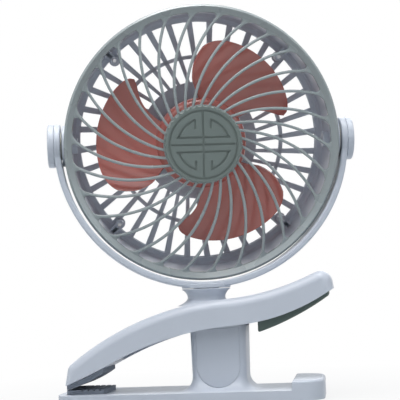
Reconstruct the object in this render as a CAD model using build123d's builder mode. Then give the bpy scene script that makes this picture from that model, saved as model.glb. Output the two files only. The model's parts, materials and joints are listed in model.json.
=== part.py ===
"""Clip-on desk fan: spring clip with a curved lever, swivelling yoke, tilting caged fan head.

Millimetres, +Z up. The origin is under the swivel axis, on the surface that the rubber feet stand on.
The clip's length runs along X and the front looks along -Y.
"""

import os
from math import cos, degrees, radians, sin, tan

from build123d import *

os.makedirs("parts", exist_ok=True)

# ---------------------------------------------------------------- clearances
GAP = 0.3  # between pieces that move past each other
RUN = 0.05  # radial play of a shaft in its bore
SNUG = 0.05  # play round a piece set into a recess
NEAR = 0.01  # for picking edges by their place

# ---------------------------------------------------------------- pose at rest
HEAD_TILT = 11.0  # degrees, nose down
YOKE_TURN = 11.0  # degrees, turned towards +X

# ---------------------------------------------------------------- clip base
FOOT_HEIGHT = 1.0  # rubber feet stand this far below the shell
BASE_LEFT = -75.0
BASE_RIGHT = 58.0
BASE_DEPTH = 48.0
BASE_TOP = 6.0
BASE_CORNER = 12.0
BASE_WALL = 2.0
BLOCK_LENGTH = 15.5  # raised finger rest at the handle end
BLOCK_TOP = 10.8
BLOCK_EDGE = 1.5
STEM_X = 6.3  # stem and hinge pin
STEM_WIDTH = 27.0
STEM_DEPTH = 26.0
STEM_TOP = 38.0
STEM_CORNER = 4.0
STEM_FLARE = 7.0
STEM_DRAFT = -1.0  # degrees, widening upwards
STEM_WALL = 3.5
STEM_ROOF = 3.0  # under the spring slot
TONGUE_WIDTH = 21.5
TONGUE_BOTTOM = 7.4
TONGUE_TOP = 36.5
TONGUE_THICK = 1.4
TONGUE_PROUD = 0.3
COVER_THICK = 1.4
FOOT_INSET_X = 22.0
FOOT_INSET_Y = 8.0
FOOT_RADIUS = 4.5
FOOT_SET = 0.6
SCREW_RADIUS = 1.0
SCREW_HEAD = 1.9
SCREW_HEAD_THICK = 0.8
SCREW_INSET_X = 12.0
SCREW_INSET_Y = 9.0
SCREW_ROOF = 0.8  # skin left above a cover screw's hole
SCREW_TIP_ROOM = 0.2  # between a screw's tip and the floor of its hole
POST_WALL = 1.2  # plastic round a small screw

# ---------------------------------------------------------------- hinge and spring
PIN_HEIGHT = 41.5
PIN_RADIUS = 2.0
PIN_HEAD = 3.0
PIN_HEAD_THICK = 1.0
PIN_BLIND = 1.2  # wall left in front of the pin
EAR_RADIUS = 5.8
EAR_THICK = 4.0
EAR_ROOT = 2.0  # how far the ears reach down into the stem
PIN_BOSS_WALL = 2.0
WIRE_RADIUS = 0.6
COIL_RADIUS = 3.5
COIL_TURNS = 4 + 50 / 360
COIL_PITCH = 2.4
WIRE_SIDES = 6
SPRING_LEG_ARM = 12.0
SPRING_LEG_STEM = 8.0

# ---------------------------------------------------------------- lever arm (jaw and handle)
ARM_DEPTH = 40.0
ARM_SKIRT = 2.2  # front and back walls
ARM_ROOF = 2.6
ARM_EDGE = 4.5  # rounding of the upper edges
ARM_END = 5.5  # rounding of the two ends seen from the front
CAVITY_CORNER = 3.5
ARM_TIP_X = -70.6
ARM_END_X = 64.4
JAW_SOLID_X = -47.0  # the jaw is solid from here to its tip
# the lever's outline from the front: arcs that run on from one another
ARM_CREST = [(-69.0, 20.0), (-37.0, 39.4), (12.0, 51.0)]
ARM_TOP_END = (62.5, 66.0)
ARM_BELLY = [(ARM_END_X, 54.4), (36.0, 41.3), (14.0, 37.8)]
ARM_THROAT = (-49.0, 20.0)
ARM_TIP = (ARM_TIP_X, 10.5)
PAD_THICK = 2.0
PAD_LENGTH = 20.0
PAD_CORNER = 3.0
PAD_INSET = 5.0  # from the lever's sides
PAD_GROOVES = 4
PAD_GROOVE = 1.0
PAD_GROOVE_DEPTH = 0.6
PAD_GROOVE_PITCH = 3.0
PAD_UNDER = [(-70.2, 8.5), (-62.0, 11.0), (-51.5, 16.6)]
GRIP_FROM = 26.8  # underside cover, hinge end
GRIP_SOLE = [(GRIP_FROM, 34.0), (45.5, 41.4), (61.9, 51.0)]
GRIP_THICK = 3.2
GRIP_EDGE = 1.5
GRIP_SCREWS = (35.0, 53.0)
GRIP_SCREW_LENGTH = 6.0
GRIP_SCREW_SINK = 0.8

# ---------------------------------------------------------------- neck and swivel
NECK_TOP = 56.5
NECK_RADIUS = 12.4
NECK_WAIST = 9.6
NECK_WAIST_DROP = 4.3  # waist below the neck's top
NECK_FLARE = 15.0
NECK_FLARE_DROP = 8.5
SPIGOT_RADIUS = 6.5
SPIGOT_LENGTH = 3.6
SWIVEL_SCREW = 1.5
SWIVEL_HEAD = 3.0
SWIVEL_HEAD_THICK = 1.2
WASHER_THICK = 0.5
INSERT_RADIUS = 2.6
INSERT_LENGTH = 5.4

# ---------------------------------------------------------------- yoke
YOKE_ROOM = 2.0  # between the rim of the grille and the yoke
YOKE_THICK = 3.2
YOKE_DEPTH = 18.0
LANDING_THICK = 2.2  # flat pad of the yoke on the neck
YOKE_EAR = 11.0  # radius of the round ends at the pivots
CAP_THICK = 3.2
CAP_EDGE = 0.8
PIVOT_SCREW = 2.0
PIVOT_HEAD = 3.6
PIVOT_HEAD_THICK = 1.2
PIVOT_SCREW_LENGTH = 10.0
PIVOT_POST_WALL = 2.0
TILT_WASHER = 0.6
TILT_WASHER_RADIUS = 7.0

# ---------------------------------------------------------------- fan head, measured from the tilt axis
HEAD_FRONT = 14.0  # front face of the rim
HEAD_REAR = -20.0
RIM_RADIUS = 69.5
RIM_SKIRT = 1.0
RIM_SKIRT_DEPTH = 11.0
RIM_WIDTH = 4.0
RIM_BEVEL = 1.1
WINDOW_WIDE_CORNER = 2.4
WINDOW_TIGHT_CORNER = 1.4
RIM_DISH = 1.2  # the rim's face slopes inwards by this much
DOME_CROWN = 0.8
DOME_LAND = 1.0  # flat edge round the hub badge
SPOKE_SLANT = 1.12  # a slanting spoke is this much wider along its circle
DRUM_WALL = 2.0
DRUM_LIP = 1.4
REAR_STEP = 4.7  # how far the drum draws in at the back
REAR_LEDGE = 2.2
REAR_PLATE = 2.0
BOSS_RADIUS = 10.5
BOSS_INSIDE = 2.6  # depth of the screw boss inside the drum
DRUM_BEND = -10.0  # the wall curves inwards behind this
REAR_SCREW_INSET = 2.9
REAR_SCREWS = 4
REAR_SCREW_START = 45.0
REAR_POST = 7.0
REAR_SCREW_ROOM = 1.0  # between a screw tip and the end of its post
SPOKES = 30
SPOKE_WIDTH = 1.8
SPOKE_THICK = 2.2
DOME_RISE = 3.0
HUB_RADIUS = 20.0
# a spoke's centre line is an arc, run on a little at both ends: how far out and degrees clockwise
SPOKE_PATH = [(-0.02, -1.0), (0.45, 20.0), (1.01, 35.5)]
BADGE_THICK = 2.4
BADGE_SCALLOPS = 40
SCALLOP_RADIUS = 0.9
GROOVE_WIDTH = 1.0
GROOVE_DEPTH = 0.5
LATTICE_RADIUS = 17.4
LATTICE_BAR = 3.2
FRET_RADIUS = 12.6
FRET_SIDE = 2.4
FRET_LOW = 5.6
FRET_HOOK = 4.5

REAR_BARS = 36
REAR_BAR_WIDTH = 2.2
REAR_RING_SHARE = 0.45  # of the way from the pod to the rim
REAR_RING_WIDTH = 2.0
REAR_SWEEP = 5.0  # degrees that a rear bar leans over its length

# ---------------------------------------------------------------- impeller
BLADES = 3
BLADE_ROOM = 11.5  # between the blade tips and the rim's opening
BLADE_SEAT = 1.5  # how far a blade's root reaches into the cup
BLADE_THICK = 1.4
BLADE_PITCH_ROOT = 30.0
BLADE_PITCH_TIP = 15.0
BLADE_START = 59.5  # direction of the first blade's middle, counter-clockwise from the right
SHAFT_SOCKET = 3.6
SHAFT_POST_WALL = 2.0
# a blade's edge, from its leading root round to its trailing root: how far out and degrees clockwise
PETAL_OUTLINE = [(0.0, 37.0), (0.37, 38.0), (0.77, 43.0), (1.0, 14.4), (1.0, -4.1)]
PETAL_OUTLINE += [(1.0, -22.6), (0.7, -42.0), (0.34, -40.5), (0.0, -37.0)]
FAN_PLANE = -1.0  # middle of the blades along the fan axis
CUP_RADIUS = 23.0
CUP_WALL = 1.6
CUP_FRONT = 8.0
CUP_REAR = -7.0
CUP_ROUND = 4.0

# ---------------------------------------------------------------- motor
SHAFT_RADIUS = 1.0
SHAFT_SET_BACK = 0.6  # shaft end inside the rear bush
CAN_RADIUS = 12.5
CAN_WALL = 0.8
CAN_FRONT = 2.0
CAN_REAR = -16.0
BUSH_RADIUS = 2.6
BUSH_LENGTH = 2.4
MAGNET_THICK = 1.8
MAGNET_LENGTH = 9.0
ROTOR_RADIUS = 9.2
ROTOR_LENGTH = 8.0
COMMUTATOR_RADIUS = 2.4
COMMUTATOR_LENGTH = 2.6
MAGNET_SPLIT = 5.0
POLES = 3
POLE_SHOE = 1.6
POLE_GAP = 2.4
POLE_WIDTH = 2.6
COIL_THICK = 1.5
COIL_SPAN = 3.4  # along the pole
MOTOR_CUP = 6.0

# ---------------------------------------------------------------- pod behind the rear grille
POD_RADIUS = 30.0
POD_DEPTH = 15.0
POD_MARGIN = 1.0  # plate showing round the pod
POD_WALL = 1.8
POD_ROUND = 4.0
POD_SCREW_RING = 25.3
POD_SCREWS = 3
POD_SCREW_START = 90.0
POD_POST = 3.0
POD_SCREW_ROOM = 0.5
POD_SCREW_SINK = 2.0
POD_DRAFT = 6.0
CELL_SIZE = (35.0, 20.0, 7.0)
CELL_Y = 9.5
CELL_CORNER = 2.0
BOARD_SIZE = (20.0, 17.0, 1.2)
BOARD_Y = -15.5
BOARD_FRONT = 6.8  # board's front face behind the rear plate
SOCKET_SIZE = (9.0, 7.0, 3.2)
SOCKET_CORNER = 1.4
SOCKET_WALL = 0.4
SOCKET_TONGUE = 0.8
SOCKET_TONGUE_WIDTH = 6.4
SOCKET_Y = -24.8
BOARD_POST = 1.6
BOARD_POST_X = 7.5
BOARD_POST_Y = -9.0
SWITCH_SIZE = (6.0, 6.0, 3.0)
BUTTON_RADIUS = 4.4
BUTTON_FLANGE = 5.6
BUTTON_FLANGE_THICK = 0.8
BUTTON_TRAVEL = 0.8
BUTTON_PRESSED = 0.1  # still proud at the end of its travel
BUTTON_EDGE = 0.6
BUTTON_Y = -10.5
LENS_RADIUS = 1.3
LENS_X = 9.0

# ---------------------------------------------------------------- sizes that follow from those
yoke_inner = RIM_RADIUS + YOKE_ROOM
yoke_outer = yoke_inner + YOKE_THICK
yoke_bottom = NECK_TOP + GAP
pivot_height = yoke_bottom + yoke_outer  # tilt axis above the table
neck_waist_z = NECK_TOP - NECK_WAIST_DROP
neck_flare_z = NECK_TOP - NECK_FLARE_DROP
rim_inner = RIM_RADIUS - RIM_WIDTH
boss_face = yoke_inner - TILT_WASHER - GAP
drum_outer = RIM_RADIUS - RIM_SKIRT - GAP
drum_inner = drum_outer - DRUM_WALL
rear_rim = drum_outer - REAR_STEP
rear_open = rear_rim - REAR_LEDGE
rear_screw_ring = rear_rim - REAR_SCREW_INSET
rear_ring = POD_RADIUS + (rear_open - POD_RADIUS) * REAR_RING_SHARE
blade_root = CUP_RADIUS - BLADE_SEAT
blade_tip = rim_inner - BLADE_ROOM

# ---------------------------------------------------------------- frames
turn = radians(YOKE_TURN)
tilt = radians(HEAD_TILT)
tilt_axis = (cos(turn), sin(turn), 0)
pivot = (0, 0, pivot_height)
yoke_plane = Plane(origin=pivot, x_dir=tilt_axis, z_dir=(sin(turn), -cos(turn), 0))
head = Plane(
    origin=pivot,
    x_dir=tilt_axis,
    z_dir=(sin(turn) * cos(tilt), -cos(turn) * cos(tilt), -sin(tilt)),
)
# radius to the right and the fan axis upwards, for turned profiles
head_section = Plane(origin=pivot, x_dir=head.x_dir, z_dir=-head.y_dir)
fan_axis = Axis(pivot, head.z_dir)


def side_plane(side, distance):
    """Plane across the tilt axis on the right (1) or left (-1), facing outwards."""
    outward = head.x_dir * side
    return Plane(origin=head.origin + outward * distance, x_dir=head.z_dir, z_dir=outward)


# ================================================================ base shell with stem and hinge ears
base_length = BASE_RIGHT - BASE_LEFT
base_middle = (BASE_RIGHT + BASE_LEFT) / 2
cover_top = FOOT_HEIGHT + COVER_THICK
cavity_top = BASE_TOP - BASE_WALL
pin_x = STEM_X
ear_span = STEM_DEPTH  # over both ears
slot_width = STEM_DEPTH - 2 * EAR_THICK
slot_floor = PIN_HEIGHT - COIL_RADIUS - WIRE_RADIUS
block_left = BASE_RIGHT - BLOCK_LENGTH
screw_x = base_length / 2 - SCREW_INSET_X
screw_y = BASE_DEPTH / 2 - SCREW_INSET_Y
screw_spots = GridLocations(2 * screw_x, 2 * screw_y, 2, 2).local_locations
foot_x = base_length / 2 - FOOT_INSET_X
foot_y = BASE_DEPTH / 2 - FOOT_INSET_Y
post_radius = SCREW_RADIUS + POST_WALL
jaw_pad_x = (PAD_UNDER[0][0] + PAD_UNDER[-1][0]) / 2
pad_depth = ARM_DEPTH - 2 * PAD_INSET

with BuildPart() as base_shell:
    with BuildSketch(Plane.XY.offset(FOOT_HEIGHT)):
        with Locations((base_middle, 0)):
            RectangleRounded(base_length, BASE_DEPTH, BASE_CORNER)
    extrude(amount=BLOCK_TOP - FOOT_HEIGHT)
    # only the finger rest at the handle end keeps the full height
    with BuildSketch(Plane.XY.offset(BASE_TOP)):
        with Locations((block_left - base_length, 0)):
            Rectangle(2 * base_length, 2 * BASE_DEPTH)
    extrude(amount=BLOCK_TOP, mode=Mode.SUBTRACT)
    fillet(base_shell.edges().group_by(Axis.Z)[-1], BLOCK_EDGE)
    with BuildSketch(Plane.XY.offset(BASE_TOP)):
        with Locations((STEM_X, 0)):
            RectangleRounded(STEM_WIDTH, STEM_DEPTH, STEM_CORNER)
    extrude(amount=STEM_TOP - BASE_TOP, taper=STEM_DRAFT)
    stem_left = STEM_X - STEM_WIDTH / 2
    stem_right = STEM_X + STEM_WIDTH / 2
    stem_root = base_shell.edges().filter_by_position(Axis.Z, BASE_TOP - NEAR, BASE_TOP + NEAR)
    stem_root = stem_root.filter_by_position(Axis.X, stem_left - NEAR, stem_right + NEAR)
    fillet(stem_root, STEM_FLARE)
    # hinge ears
    with BuildSketch(Plane.XZ):
        with Locations((pin_x, PIN_HEIGHT)):
            Circle(EAR_RADIUS)
        with Locations((pin_x, (PIN_HEIGHT + STEM_TOP - EAR_ROOT) / 2)):
            Rectangle(2 * EAR_RADIUS, PIN_HEIGHT - STEM_TOP + EAR_ROOT)
    extrude(amount=ear_span / 2, both=True)
    with BuildSketch(Plane.XZ):
        with Locations((pin_x, slot_floor + EAR_RADIUS)):
            Rectangle(2 * STEM_WIDTH, 2 * EAR_RADIUS)
    extrude(amount=slot_width / 2, both=True, mode=Mode.SUBTRACT)
    with BuildSketch(Plane.XZ):
        with Locations((pin_x, PIN_HEIGHT)):
            Circle(PIN_RADIUS + RUN)
    extrude(amount=ear_span, both=True, mode=Mode.SUBTRACT)
    # hollow foot and stem, open below
    with BuildSketch(Plane.XY.offset(FOOT_HEIGHT)):
        with Locations((base_middle, 0)):
            RectangleRounded(
                base_length - 2 * BASE_WALL, BASE_DEPTH - 2 * BASE_WALL, BASE_CORNER - BASE_WALL
            )
    extrude(amount=cavity_top - FOOT_HEIGHT, mode=Mode.SUBTRACT)
    with BuildSketch(Plane.XY.offset(FOOT_HEIGHT)):
        with Locations((STEM_X, 0)):
            RectangleRounded(STEM_WIDTH - 2 * STEM_WALL, STEM_DEPTH - 2 * STEM_WALL, STEM_CORNER / 2)
    extrude(amount=slot_floor - STEM_ROOF - FOOT_HEIGHT, mode=Mode.SUBTRACT)
    # screw posts
    with BuildSketch(Plane.XY.offset(cover_top)):
        with Locations((base_middle, 0)):
            with Locations(screw_spots):
                Circle(post_radius)
    extrude(amount=cavity_top - cover_top)
    with BuildSketch(Plane.XY.offset(cover_top)):
        with Locations((base_middle, 0)):
            with Locations(screw_spots):
                Circle(SCREW_RADIUS + SNUG)
    extrude(amount=BASE_TOP - SCREW_ROOF - cover_top, mode=Mode.SUBTRACT)
    # recess for the front panel, a tongue with a round lower end
    with BuildSketch(Plane.XZ.offset(STEM_DEPTH / 2 + TONGUE_PROUD - TONGUE_THICK)):
        with Locations((STEM_X, TONGUE_BOTTOM + TONGUE_WIDTH / 2)):
            Circle(TONGUE_WIDTH / 2 + SNUG)
        with Locations((STEM_X, (TONGUE_BOTTOM + TONGUE_WIDTH / 2 + TONGUE_TOP) / 2)):
            Rectangle(TONGUE_WIDTH + 2 * SNUG, TONGUE_TOP - TONGUE_BOTTOM - TONGUE_WIDTH / 2 + 2 * SNUG)
    extrude(amount=BASE_DEPTH, mode=Mode.SUBTRACT)
    # seat for the jaw pad
    with BuildSketch(Plane.XY.offset(BASE_TOP - FOOT_SET)):
        with Locations((jaw_pad_x, 0)):
            RectangleRounded(PAD_LENGTH + 2 * SNUG, pad_depth + 2 * SNUG, PAD_CORNER)
    extrude(amount=FOOT_SET, mode=Mode.SUBTRACT)
base_shell.part.label = "base_shell"
export_step(base_shell.part, "parts/base_shell.step")

# ================================================================ front panel of the stem
with BuildPart() as stem_panel:
    with BuildSketch(Plane.XZ.offset(STEM_DEPTH / 2 + TONGUE_PROUD - TONGUE_THICK)):
        with Locations((STEM_X, TONGUE_BOTTOM + TONGUE_WIDTH / 2)):
            Circle(TONGUE_WIDTH / 2)
        with Locations((STEM_X, (TONGUE_BOTTOM + TONGUE_WIDTH / 2 + TONGUE_TOP) / 2)):
            Rectangle(TONGUE_WIDTH, TONGUE_TOP - TONGUE_BOTTOM - TONGUE_WIDTH / 2)
    extrude(amount=TONGUE_THICK)
    fillet(stem_panel.edges().group_by(Axis.Y)[0], TONGUE_PROUD)
stem_panel.part.label = "stem_panel"
export_step(stem_panel.part, "parts/stem_panel.step")

# ================================================================ bottom cover, its screws and the feet
foot_spots = GridLocations(2 * foot_x, 2 * foot_y, 2, 2).local_locations

with BuildPart() as bottom_cover:
    with BuildSketch(Plane.XY.offset(FOOT_HEIGHT)):
        with Locations((base_middle, 0)):
            cover_inset = BASE_WALL + SNUG
            RectangleRounded(
                base_length - 2 * cover_inset, BASE_DEPTH - 2 * cover_inset, BASE_CORNER - cover_inset
            )
            with Locations(screw_spots):
                Circle(SCREW_RADIUS + SNUG, mode=Mode.SUBTRACT)
    extrude(amount=COVER_THICK)
    with BuildSketch(Plane.XY.offset(FOOT_HEIGHT)):
        with Locations((base_middle, 0)):
            with Locations(screw_spots):
                Circle(SCREW_HEAD + SNUG)
    extrude(amount=SCREW_HEAD_THICK, mode=Mode.SUBTRACT)
    with BuildSketch(Plane.XY.offset(FOOT_HEIGHT)):
        with Locations((base_middle, 0)):
            with Locations(foot_spots):
                Circle(FOOT_RADIUS + SNUG)
    extrude(amount=FOOT_SET, mode=Mode.SUBTRACT)
bottom_cover.part.label = "bottom_cover"
export_step(bottom_cover.part, "parts/bottom_cover.step")

with BuildPart() as cover_screws:
    with BuildSketch(Plane.XY.offset(FOOT_HEIGHT)):
        with Locations((base_middle, 0)):
            with Locations(screw_spots):
                Circle(SCREW_HEAD)
    extrude(amount=SCREW_HEAD_THICK)
    with BuildSketch(Plane.XY.offset(FOOT_HEIGHT + SCREW_HEAD_THICK)):
        with Locations((base_middle, 0)):
            with Locations(screw_spots):
                Circle(SCREW_RADIUS)
    extrude(amount=BASE_TOP - SCREW_ROOF - SCREW_TIP_ROOM - FOOT_HEIGHT - SCREW_HEAD_THICK)
cover_screws.part.label = "cover_screws"
export_step(cover_screws.part, "parts/cover_screws.step")

with BuildPart() as rubber_feet:
    with BuildSketch(Plane.XY):
        with Locations((base_middle, 0)):
            with Locations(foot_spots):
                Circle(FOOT_RADIUS)
    extrude(amount=FOOT_HEIGHT + FOOT_SET)
    chamfer(rubber_feet.edges().group_by(Axis.Z)[0], FOOT_HEIGHT / 2)
rubber_feet.part.label = "rubber_feet"
export_step(rubber_feet.part, "parts/rubber_feet.step")

# ================================================= lever arm: an S-shaped channel with the neck on top
socket_floor = NECK_TOP - SPIGOT_LENGTH - GAP
insert_bottom = socket_floor - INSERT_LENGTH
arm_inner_half = ARM_DEPTH / 2 - ARM_SKIRT
arm_inner_end = ARM_END_X - ARM_SKIRT
stem_top_half = STEM_DEPTH / 2 + (STEM_TOP - BASE_TOP) * tan(radians(-STEM_DRAFT))
pin_boss_face = stem_top_half + GAP


# outlines drawn flat, x along the clip and y upwards
with BuildLine() as lever_top:
    crest = ThreePointArc(*ARM_CREST)
    TangentArc(crest @ 1, ARM_TOP_END, tangent=crest % 1)

with BuildLine() as lever_under:
    belly = ThreePointArc(*ARM_BELLY)
    throat = TangentArc(belly @ 1, ARM_THROAT, tangent=belly % 1)
    TangentArc(throat @ 1, ARM_TIP, tangent=throat % 1)

with BuildLine() as grip_under:
    ThreePointArc(*GRIP_SOLE)


def height_on(outline, x):
    """Height of a flat outline at x, found by halving."""
    wire = outline.wires()[0]
    rightwards = (wire @ 1).X > (wire @ 0).X
    low, high = 0.0, 1.0
    while high - low > NEAR / pivot_height:
        middle = (low + high) / 2
        if ((wire @ middle).X < x) == rightwards:
            low = middle
        else:
            high = middle
    return (wire @ low).Y


def arm_cavity_end(corners):
    """Upper corner of the hollow at the handle's end."""
    return corners.sort_by(Axis.X)[-2:].sort_by(Axis.Y)[-1]


with BuildPart() as arm_cavity:
    with BuildSketch(Plane.XZ):
        with BuildLine():
            add(lever_top.line.moved(Location((0, -ARM_ROOF))))
            Polyline(
                (ARM_TOP_END[0], ARM_TOP_END[1] - ARM_ROOF),
                (ARM_END_X, 0),
                (ARM_TIP_X, 0),
                (ARM_CREST[0][0], ARM_CREST[0][1] - ARM_ROOF),
            )
        make_face()
        with Locations((arm_inner_end - pivot_height, 0)):
            Rectangle(2 * pivot_height, 2 * pivot_height, mode=Mode.INTERSECT)
        fillet(arm_cavity_end(vertices()), ARM_END)
    extrude(amount=arm_inner_half, both=True)
    with BuildSketch(Plane.XY):
        with Locations(((JAW_SOLID_X + arm_inner_end) / 2, 0)):
            RectangleRounded(arm_inner_end - JAW_SOLID_X, 2 * arm_inner_half, CAVITY_CORNER)
    extrude(amount=pivot_height, mode=Mode.INTERSECT)

# the underside grip before its screw holes, a slab that follows the handle's lower curve
with BuildPart() as grip_blank:
    with BuildSketch(Plane.XZ):
        with BuildLine():
            add(grip_under.line)
            add(grip_under.line.moved(Location((0, GRIP_THICK))))
            for end_x, end_z in (GRIP_SOLE[0], GRIP_SOLE[-1]):
                Line((end_x, end_z), (end_x, end_z + GRIP_THICK))
        make_face()
    extrude(amount=arm_inner_half - SNUG, both=True)
    sole_edges = ShapeList()
    for wall in grip_blank.faces().filter_by(Axis.Y):
        for edge in wall.edges():
            middle = edge @ 0.5
            if middle.Z < height_on(grip_under, middle.X) + NEAR:
                sole_edges.append(edge)
    fillet(sole_edges, GRIP_EDGE)
    with BuildSketch(Plane.XY):
        with Locations(((JAW_SOLID_X + arm_inner_end) / 2, 0)):
            RectangleRounded(
                arm_inner_end - JAW_SOLID_X - 2 * SNUG, 2 * arm_inner_half - 2 * SNUG, CAVITY_CORNER
            )
    extrude(amount=pivot_height, mode=Mode.INTERSECT)

with BuildPart() as clip_arm:
    with BuildSketch(Plane.XZ):
        with BuildLine():
            add(lever_top.line)
            add(lever_under.line)
            Line(ARM_TOP_END, ARM_BELLY[0])
            Line(ARM_TIP, ARM_CREST[0])
        make_face()
    extrude(amount=ARM_DEPTH / 2, both=True)
    for corner_x, corner_z in (ARM_TOP_END, ARM_CREST[0]):
        corner = clip_arm.edges().filter_by(Axis.Y)
        corner = corner.filter_by_position(Axis.X, corner_x - NEAR, corner_x + NEAR)
        fillet(corner.filter_by_position(Axis.Z, corner_z - NEAR, corner_z + NEAR), ARM_END)
    # round the front and back outlines, apart from the lower edges
    rounded = ShapeList()
    for wall in clip_arm.faces().filter_by(Axis.Y):
        for edge in wall.edges():
            middle = edge @ 0.5
            if middle.Z > height_on(lever_under, middle.X) + NEAR:
                rounded.append(edge)
    fillet(rounded, ARM_EDGE)
    add(arm_cavity.part, mode=Mode.SUBTRACT)
    # bosses for the hinge pin
    with BuildSketch(Plane.XZ):
        with Locations((pin_x, PIN_HEIGHT)):
            Circle(PIN_RADIUS + PIN_BOSS_WALL)
    extrude(amount=arm_inner_half + ARM_SKIRT / 2, both=True)
    with BuildSketch(Plane.XZ):
        with Locations((pin_x, PIN_HEIGHT)):
            Circle(PIN_RADIUS + PIN_BOSS_WALL)
    extrude(amount=pin_boss_face, both=True, mode=Mode.SUBTRACT)
    with BuildSketch(Plane.XZ.offset(-ARM_DEPTH / 2)):
        with Locations((pin_x, PIN_HEIGHT)):
            Circle(PIN_RADIUS + RUN)
    extrude(amount=ARM_DEPTH - PIN_BLIND, mode=Mode.SUBTRACT)
    with BuildSketch(Plane.XZ.offset(-ARM_DEPTH / 2)):
        with Locations((pin_x, PIN_HEIGHT)):
            Circle(PIN_HEAD + SNUG)
    extrude(amount=PIN_HEAD_THICK, mode=Mode.SUBTRACT)
    # posts for the grip screws
    for x in GRIP_SCREWS:
        post_start = height_on(grip_under, x) + GRIP_THICK / 2
        with BuildSketch(Plane.XY.offset(post_start)):
            with Locations((x, 0)):
                Circle(post_radius)
                Circle(SCREW_RADIUS + SNUG, mode=Mode.SUBTRACT)
        extrude(amount=height_on(lever_top, x) - ARM_ROOF / 2 - post_start)
    add(grip_blank.part, mode=Mode.SUBTRACT)
    # neck, a waisted pedestal turned about the swivel axis
    with BuildSketch(Plane.XZ):
        with BuildLine():
            Line((0, NECK_TOP), (NECK_RADIUS, NECK_TOP))
            Spline((NECK_RADIUS, NECK_TOP), (NECK_WAIST, neck_waist_z), (NECK_FLARE, neck_flare_z))
            Polyline((NECK_FLARE, neck_flare_z), (0, neck_flare_z), (0, NECK_TOP))
        make_face()
    revolve(axis=Axis.Z)
    with BuildSketch(Plane.XY.offset(NECK_TOP)):
        Circle(SPIGOT_RADIUS + RUN)
    extrude(amount=-(NECK_TOP - socket_floor), mode=Mode.SUBTRACT)
    with BuildSketch(Plane.XY.offset(socket_floor)):
        Circle(INSERT_RADIUS + SNUG)
    extrude(amount=-INSERT_LENGTH, mode=Mode.SUBTRACT)
clip_arm.part.label = "clip_arm"
export_step(clip_arm.part, "parts/clip_arm.step")

with BuildPart() as insert_nut:
    with BuildSketch(Plane.XY.offset(insert_bottom)):
        Circle(INSERT_RADIUS)
        Circle(SWIVEL_SCREW + RUN, mode=Mode.SUBTRACT)
    extrude(amount=INSERT_LENGTH)
insert_nut.part.label = "insert_nut"
export_step(insert_nut.part, "parts/insert_nut.step")

# ================================================================ grips on the lever arm
with BuildPart() as upper_grip_pad:
    with BuildSketch(Plane.XZ):
        with BuildLine():
            ThreePointArc(*PAD_UNDER)
            Polyline(
                PAD_UNDER[-1],
                (PAD_UNDER[-1][0], PAD_UNDER[-1][1] + 2 * PAD_THICK),
                (PAD_UNDER[0][0], PAD_UNDER[0][1] + 2 * PAD_THICK),
                PAD_UNDER[0],
            )
        make_face()
    extrude(amount=pad_depth / 2, both=True)
    add(clip_arm.part, mode=Mode.SUBTRACT)
upper_grip_pad.part.label = "upper_grip_pad"
export_step(upper_grip_pad.part, "parts/upper_grip_pad.step")

with BuildPart() as lower_grip_pad:
    with BuildSketch(Plane.XY.offset(BASE_TOP - FOOT_SET)):
        with Locations((jaw_pad_x, 0)):
            RectangleRounded(PAD_LENGTH, pad_depth, PAD_CORNER)
    extrude(amount=PAD_UNDER[0][1] - GAP - BASE_TOP + FOOT_SET)
    with BuildSketch(Plane.XZ):
        with Locations((jaw_pad_x + PAD_GROOVE_PITCH, PAD_UNDER[0][1] - GAP)):
            with GridLocations(PAD_GROOVE_PITCH, 0, PAD_GROOVES, 1):
                Rectangle(PAD_GROOVE, 2 * PAD_GROOVE_DEPTH)
    extrude(amount=pad_depth, both=True, mode=Mode.SUBTRACT)
lower_grip_pad.part.label = "lower_grip_pad"
export_step(lower_grip_pad.part, "parts/lower_grip_pad.step")

with BuildPart() as handle_grip:
    add(grip_blank.part)
    for x in GRIP_SCREWS:
        head_top = height_on(grip_under, x) + SCREW_HEAD_THICK + GRIP_SCREW_SINK
        with BuildSketch(Plane.XY.offset(head_top)):
            with Locations((x, 0)):
                Circle(SCREW_HEAD + SNUG)
        extrude(amount=-GRIP_THICK * 2, mode=Mode.SUBTRACT)
        with BuildSketch(Plane.XY.offset(head_top)):
            with Locations((x, 0)):
                Circle(SCREW_RADIUS + SNUG)
        extrude(amount=GRIP_THICK * 2, mode=Mode.SUBTRACT)
handle_grip.part.label = "handle_grip"
export_step(handle_grip.part, "parts/handle_grip.step")

with BuildPart() as grip_screws:
    for x in GRIP_SCREWS:
        head_top = height_on(grip_under, x) + SCREW_HEAD_THICK + GRIP_SCREW_SINK
        with BuildSketch(Plane.XY.offset(head_top)):
            with Locations((x, 0)):
                Circle(SCREW_HEAD)
        extrude(amount=-SCREW_HEAD_THICK)
        with BuildSketch(Plane.XY.offset(head_top)):
            with Locations((x, 0)):
                Circle(SCREW_RADIUS)
        extrude(amount=GRIP_SCREW_LENGTH)
grip_screws.part.label = "grip_screws"
export_step(grip_screws.part, "parts/grip_screws.step")

# ================================================================ hinge pin and torsion spring
with BuildPart() as hinge_pin:
    with BuildSketch(Plane.XZ.offset(-ARM_DEPTH / 2)):
        with Locations((pin_x, PIN_HEIGHT)):
            Circle(PIN_HEAD)
    extrude(amount=PIN_HEAD_THICK)
    with BuildSketch(Plane.XZ.offset(-ARM_DEPTH / 2)):
        with Locations((pin_x, PIN_HEIGHT)):
            Circle(PIN_RADIUS)
    extrude(amount=ARM_DEPTH - PIN_BLIND - SNUG)
hinge_pin.part.label = "hinge_pin"
export_step(hinge_pin.part, "parts/hinge_pin.step")

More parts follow.
